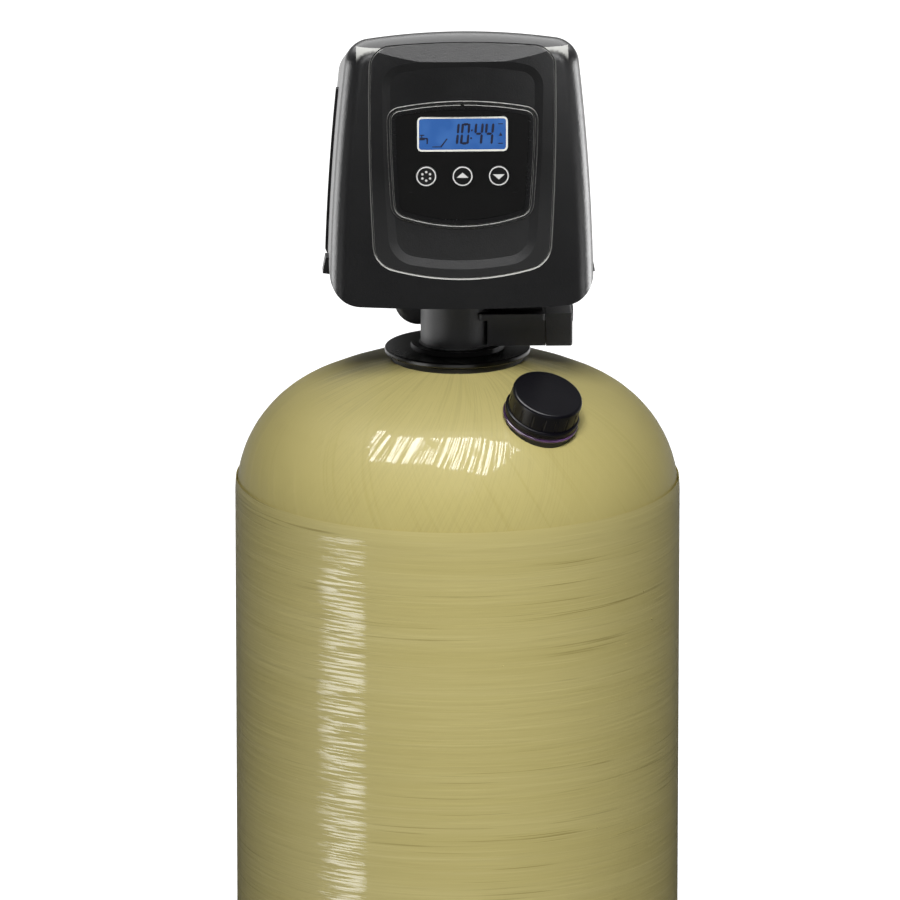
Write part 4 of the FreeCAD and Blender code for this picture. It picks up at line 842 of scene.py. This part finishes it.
def studio_light():
    """One soft box lights the object from the front. The rest give its glosses and edges."""
    shoulder, head = Vector((0, 0, FLANGE_TOP - 0.1)), Vector((0, 0, FLANGE_TOP + 0.12))
    soft_box("front", around(-2, 4.2, 4.8), shoulder, (1.6, 1.6), 45.0)
    above = pieces_group("head_pieces", True)
    brow_z = FLANGE_TOP + 0.29
    soft_box("sky", (0, 0.4, FLANGE_TOP + 2.1), head, (5.0, 3.4), 5.0, above)
    soft_box("banner", around(0, 3.2, 3.4), head, (2.6, 0.9), 9.0, above)
    soft_box("brow_left", (-0.2, -0.45, brow_z), head, (0.1, 0.24), 4.0, above)
    soft_box("brow_right", (0.2, -0.45, brow_z), head, (0.1, 0.24), 9.0, above)
    soft_box("head_right", around(104, 2.0, 1.0), head, (1.3, 0.8), 11.0, above)
    soft_box("head_left", around(-108, 2.0, 1.0), head, (1.3, 0.8), 6.0, above)
    soft_box("right_low", around(58, 2.0, 0.70), head, (0.8, 0.4), 7.0, above)
    soft_box("left_low", around(-62, 2.0, 0.70), head, (0.8, 0.4), 2.5, above)
    below = pieces_group("tank_pieces", False)
    for node in ("valve_body", "injector_body", "injector_cap"):
        below.objects.link(bpy.data.objects[node + "_skin"])
    soft_box("low_front", around(0, 3.0, 0.4), shoulder, (2.6, 0.9), 1.2, below)
    soft_box("dome_window", (-0.2, -0.4, 3.1), shoulder, (2.0, 1.2), 14.0, below)
    soft_box("tank_window", around(-64, 2.4, 0.2), (0, 0, 0.8), (1.3, 0.95), 7.5, below)


def surround():
    """A world that is white to the camera, pale behind the object and dim elsewhere."""
    p = Paint("surround", bpy.data.worlds)
    x, y, z = p.coordinates("Generated")
    seen, shiny, through = p.rays()
    backdrop = shiny * y.between(0.1, 0.6, "LINEAR") * 0.2
    dim, white = [p.node("ShaderNodeBackground", None,
                         {"Color": (1, 1, 1, 1), "Strength": level}) for level in (0.05, 1.0)]
    both = p.mix_surfaces(seen.largest(through).largest(backdrop), dim, white)
    bpy.context.scene.world = p.end_with(both, "ShaderNodeOutputWorld")


def camera(chosen):
    """A long lens, aimed so that the flange lies where the photograph has it."""
    a, e, middle = chosen.azimuth, chosen.elevation, PICTURE / 2
    back = Vector((math.sin(a) * math.cos(e), -math.cos(a) * math.cos(e), math.sin(e)))
    right = Vector((math.cos(a), math.sin(a), 0.0))
    up = back.cross(right)
    target = (Vector((0, 0, FLANGE_TOP)) - right * (chosen.flange_x - middle) / chosen.scale
              - up * (middle - chosen.flange_y) / chosen.scale)
    lens = bpy.data.cameras.new("camera")
    lens.sensor_width = 36.0
    lens.lens = chosen.scale * chosen.distance / PICTURE * lens.sensor_width
    lens.clip_start, lens.clip_end = 0.1, 200.0
    holder = bpy.data.objects.new("camera", lens)
    holder.location = target + back * chosen.distance
    holder.rotation_mode = "QUATERNION"
    holder.rotation_quaternion = (-back).to_track_quat("-Z", "Y")
    bpy.context.scene.collection.objects.link(holder)
    bpy.context.scene.camera = holder


# Settings

def colour_setting(name, description, default):
    return bpy.props.FloatVectorProperty(name=name, description=description, subtype="COLOR",
                                         size=4, default=default)


class TankSettings(bpy.types.PropertyGroup):
    tan: colour_setting("Laminate", "Colour of the resin over the glass", linear(182, 171, 113))
    olive: colour_setting("Laminate shade", "Darker bands in the laminate", linear(172, 160, 98))
    ripple: bpy.props.FloatProperty(
        name="Ripple", description="Height of the ridges between the hoop bands",
        default=0.05 * MM, unit="LENGTH", min=0.0, precision=5)
    bead_density: bpy.props.FloatProperty(
        name="Resin beads", description="Beads to a square metre", default=110.0, min=0.0)


class HeadSettings(bpy.types.PropertyGroup):
    shell: colour_setting("Shell", "Colour of the cover and rear housing", linear(17, 17, 18))
    body: colour_setting("Valve body", "Colour of the valve and injector housing",
                         linear(40, 40, 41))


class DisplaySettings(bpy.types.PropertyGroup):
    digits: bpy.props.StringProperty(
        name="Digits", description="Time shown, with a colon", default="10:44")
    blue: colour_setting("Field", "Colour of the lit field", linear(48, 92, 158))
    digit_height: bpy.props.FloatProperty(
        name="Digit height", description="Height of the digits", default=15.0 * MM,
        unit="LENGTH", min=0.001)
    slant: bpy.props.FloatProperty(
        name="Slant", description="Lean of the digits", default=math.radians(5.0),
        subtype="ANGLE")


class StageSettings(bpy.types.PropertyGroup):
    azimuth: bpy.props.FloatProperty(
        name="Azimuth", description="Camera's turn from the front", default=math.radians(-2.0),
        subtype="ANGLE")
    elevation: bpy.props.FloatProperty(
        name="Elevation", description="Camera's height above level",
        default=math.radians(15.0), subtype="ANGLE")
    distance: bpy.props.FloatProperty(
        name="Distance", description="Camera to the flange", default=8.0, unit="LENGTH")
    scale: bpy.props.FloatProperty(
        name="Pixels per metre", description="Scale of the 900 pixel picture at the flange",
        default=1448.0)
    flange_x: bpy.props.FloatProperty(
        name="Flange across", description="Where the flange's centre lies in the picture",
        default=457.5)
    flange_y: bpy.props.FloatProperty(
        name="Flange down", description="Where the flange's top lies in the picture",
        default=345.5)


# Operators

class FILTER_OT_tank(bpy.types.Operator):
    """Finish the wound tank, its foot and its resin beads"""
    bl_idname = "filter.tank"
    bl_label = "Tank"

    def execute(self, context):
        chosen = context.scene.filter_tank
        hoop = hoop_laminate(tuple(chosen.tan), tuple(chosen.olive))
        helical = helical_laminate(tuple(chosen.tan), tuple(chosen.olive))
        dress("helical_winding", helical, crease=40)
        band = lathe("hoop_band", hoop_outline(chosen.ripple), hoop, "tank",
                     HOOP_SEGMENTS)
        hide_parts("hoop_winding")
        foot = moulded("foot_black", linear(33, 33, 34), rough=0.5, grain=0.35, pitch=500)
        dress("tank_base", foot, crease=40)
        grown("resin_beads", outer_faces(band.data), bead_recipe(),
              {"Density": chosen.bead_density, "Size": BEAD_R, "Material": hoop},
              "tank")
        return {"FINISHED"}


class FILTER_OT_tank_inside(bpy.types.Operator):
    """Finish what the tank holds: liner, riser, strainers, gravel and calcite"""
    bl_idname = "filter.tank_inside"
    bl_label = "Inside the tank"

    def execute(self, context):
        liner = moulded("liner_white", linear(214, 212, 200), rough=0.6, grain=0.3)
        dress("tank_liner", liner, crease=40)
        dress("riser_tube", moulded("pipe_white", linear(226, 226, 220), rough=0.42, grain=0.15))
        for node in ("lower_distributor", "upper_basket"):
            dress(node, moulded(node + "_white", linear(206, 205, 198), rough=0.5, grain=0.2))
        gravel = mineral("gravel", linear(150, 140, 124), linear(98, 88, 76), size=5 * MM)
        calcite = mineral("calcite", linear(228, 222, 210), linear(190, 182, 166), size=2.2 * MM)
        dress("gravel_bed", gravel)
        dress("calcite_bed", calcite)
        for node in ("neck_insert", "fill_port_insert"):
            dress(node, moulded(node + "_black", linear(30, 30, 30), rough=0.5, grain=0.2))
        return {"FINISHED"}


class FILTER_OT_fill_plug(bpy.types.Operator):
    """Finish the plug in the tank's shoulder and the seal under it"""
    bl_idname = "filter.fill_plug"
    bl_label = "Fill plug"

    def execute(self, context):
        plug = moulded("plug_black", linear(9, 8, 14), rough=0.3, grain=0.25, pitch=700,
                       gloss=0.25)
        dress("fill_plug", plug, crease=38)
        dress("fill_seal", wet_seal(), crease=40)
        dress("plug_washer", moulded("washer_black", linear(24, 18, 28), rough=0.3, grain=0.1))
        return {"FINISHED"}


class FILTER_OT_valve(bpy.types.Operator):
    """Finish the adapter, valve body, injector housing and drain"""
    bl_idname = "filter.valve"
    bl_label = "Valve"

    def execute(self, context):
        chosen = context.scene.filter_head
        body = moulded("valve_black", tuple(chosen.body), rough=0.55, grain=0.45, pitch=650,
                       worn=0.1)
        for node in ("valve_body", "injector_body", "injector_cap", "blank_plug"):
            dress(node, body)
        flange = moulded("flange_black", linear(2, 2, 2), rough=0.3, grain=0.1, pitch=500)
        dress("tank_adapter", flange)
        dress("drain_fitting", moulded("fitting_black", linear(22, 22, 23), rough=0.4, grain=0.2))
        ring = rubber("oring", linear(26, 26, 26))
        for node in ("riser_oring", "tank_oring", "valve_seals", "drain_washer"):
            dress(node, ring, crease=50)
        pale = moulded("retainer_white", linear(208, 206, 196), rough=0.5, grain=0.15)
        for node in ("oring_retainer", "seal_spacers", "end_plug"):
            dress(node, pale)
        dress("piston", moulded("piston_ptfe", linear(84, 84, 88), rough=0.3, grain=0.1))
        dress("piston_rod", metal("steel_rod", linear(196, 196, 198), rough=0.18))
        nylon = moulded("link_nylon", linear(214, 208, 190), rough=0.45, grain=0.2)
        for point in dress("piston_link", nylon).data.vertices:
            point.co.y = min(point.co.y, LINK_BACK)
        return {"FINISHED"}


class FILTER_OT_shell(bpy.types.Operator):
    """Finish the cover, front panel, latches and rear housing"""
    bl_idname = "filter.shell"
    bl_label = "Head shell"

    def execute(self, context):
        shell = tuple(context.scene.filter_head.shell)
        seat = (72 * MM, FLANGE_TOP + 66 * MM, FLANGE_TOP + 232 * MM)
        cover = moulded("cover_black", shell, rough=0.33, grain=0.4, pitch=850, polished=seat)
        for node in ("cover", "rear_cover"):
            dress(node, cover)
        panel = moulded("panel_black", linear(13, 13, 14), rough=0.32, grain=0.36, pitch=950,
                        polished=seat, dull=0.2)
        dress("front_panel", panel, crease=14)
        for node in ("latch_left", "latch_right"):
            dress(node, moulded(node + "_black", linear(14, 14, 15), rough=0.4, grain=0.2))
        dress("cord_gland", rubber("gland_rubber", linear(28, 28, 28)))
        return {"FINISHED"}


class FILTER_OT_drive(bpy.types.Operator):
    """Finish the plate, motor, gears, switches and board, and all steel screws and clips"""
    bl_idname = "filter.drive"
    bl_label = "Drive"

    def execute(self, context):
        grey = moulded("housing_grey", linear(62, 62, 64), rough=0.5, grain=0.3)
        for node in ("back_plate", "timer_housing", "switch_bracket"):
            dress(node, grey)
        gear = moulded("gear_nylon", linear(214, 212, 202), rough=0.42, grain=0.15)
        pinion = moulded("pinion_nylon", linear(206, 198, 172), rough=0.42, grain=0.15)
        dress("drive_gear", gear, crease=30)
        dress("motor_pinion", pinion, crease=30)
        dress("motor", metal("motor_can", linear(176, 176, 178), rough=0.34, lines=300))
        dress("microswitches", moulded("switch_black", linear(32, 32, 34), rough=0.4, grain=0.15))
        dress("circuit_board", board())
        steel = metal("screw_steel", linear(188, 188, 190), rough=0.26, lines=900)
        for node in ("injector_screws", "drain_clip", "rear_screws", "timer_screws",
                     "motor_screws", "spindle_clip", "mount_screws"):
            dress(node, steel)
        return {"FINISHED"}


class FILTER_OT_display(bpy.types.Operator):
    """Finish the display frame, its label, the lit field and the digits"""
    bl_idname = "filter.display"
    bl_label = "Display"

    def execute(self, context):
        chosen = context.scene.filter_display
        edges = (60 * MM, FLANGE_TOP + 90 * MM, FLANGE_TOP + 215 * MM)
        bezel = moulded("bezel_black", linear(14, 14, 15), rough=0.26, grain=0.12, polished=edges)
        dress("display_bezel", bezel)
        dress("label_panel", glossy_label(linear(13, 13, 13)))
        dress("lcd_glass", lit_glass(tuple(chosen.blue), linear(30, 66, 138)), crease=40)
        marks = seven_segments(chosen.digits, chosen.digit_height, chosen.slant)
        marks += tap_mark(-27.2 * MM, LCD_MID - 3.2 * MM) + corner_marks() + slope_mark()
        navy = ink("lcd_marks", linear(5, 15, 44))
        plates("lcd_marks", marks, GLASS_Y - 0.10 * MM, 0.08 * MM, navy, "tank")
        pale = ink("lcd_border", linear(214, 214, 206), glow=0.15)
        plates("lcd_border", border_strips(), GLASS_Y - 0.14 * MM, 0.12 * MM, pale, "tank")
        return {"FINISHED"}


class FILTER_OT_keys(bpy.types.Operator):
    """Finish the three keys, each with its ring and sign"""
    bl_idname = "filter.keys"
    bl_label = "Keys"

    def execute(self, context):
        black = moulded("key_black", linear(11, 11, 12), rough=0.3, grain=0.08)
        white = ink("key_print", linear(214, 214, 212))
        outer, inner, petal = 6.75 * MM, 5.95 * MM, 0.82 * MM
        for node, way in (("button_set", None), ("button_up", 1), ("button_down", -1)):
            dress(node, black, crease=40)
            low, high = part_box(node)
            x, z = (low.x + high.x) / 2, (low.z + high.z) / 2
            y = low.y - 0.06 * MM
            name = node + "_ring"
            ring = link(name, ring_mesh(name, x, z, outer, inner, y, PRINT), white)
            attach(ring, node)
            if way is None:
                dot = plate_mesh("petal", [circle(0.0, 0.0, petal, 20)], 0.0, PRINT)
                grown(node + "_petals", dot, ring_recipe(),
                      {"Count": 6, "Radius": 3.0 * MM, "Centre": (x, y, z), "Material": white},
                      node, smooth=False)
            else:
                foot, tip = z - way * 1.05 * MM, z + way * 2.55 * MM
                arrow = [(x - 4.0 * MM, foot), (x + 4.0 * MM, foot), (x, tip)]
                plates(node + "_arrow", [arrow], y, PRINT, white, node)
        return {"FINISHED"}


class FILTER_OT_stage(bpy.types.Operator):
    """Set the floor, the studio light, the surroundings and the camera"""
    bl_idname = "filter.stage"
    bl_label = "Stage"

    def execute(self, context):
        floor()
        studio_light()
        surround()
        camera(context.scene.filter_stage)
        return {"FINISHED"}


class FILTER_PT_panel(bpy.types.Panel):
    """Lists the steps and their settings"""
    bl_idname = "FILTER_PT_panel"
    bl_label = "Neutralizer filter"
    bl_space_type = "VIEW_3D"
    bl_region_type = "UI"
    bl_category = "Filter"

    def draw(self, context):
        for group in SETTINGS:
            settings = getattr(context.scene, group)
            for name in settings.__annotations__:
                self.layout.prop(settings, name)
        for operator in OPERATORS:
            self.layout.operator(operator.bl_idname)


SETTINGS = {"filter_tank": TankSettings, "filter_head": HeadSettings,
            "filter_display": DisplaySettings, "filter_stage": StageSettings}
OPERATORS = (FILTER_OT_tank, FILTER_OT_tank_inside, FILTER_OT_fill_plug, FILTER_OT_valve,
             FILTER_OT_shell, FILTER_OT_drive, FILTER_OT_display, FILTER_OT_keys,
             FILTER_OT_stage)


def register():
    for group in SETTINGS.values():
        bpy.utils.register_class(group)
    for operator in OPERATORS:
        bpy.utils.register_class(operator)
    bpy.utils.register_class(FILTER_PT_panel)
    for name, group in SETTINGS.items():
        setattr(bpy.types.Scene, name, bpy.props.PointerProperty(type=group))


def unregister():
    for name in SETTINGS:
        delattr(bpy.types.Scene, name)
    bpy.utils.unregister_class(FILTER_PT_panel)
    for operator in reversed(OPERATORS):
        bpy.utils.unregister_class(operator)
    for group in reversed(list(SETTINGS.values())):
        bpy.utils.unregister_class(group)


def main():
    register()
    bpy.context.scene.view_settings.view_transform = "Standard"
    for operator in OPERATORS:
        family, step = operator.bl_idname.split(".")
        getattr(getattr(bpy.ops, family), step)()
    bpy.context.view_layer.update()


if __name__ == "__main__":
    main()
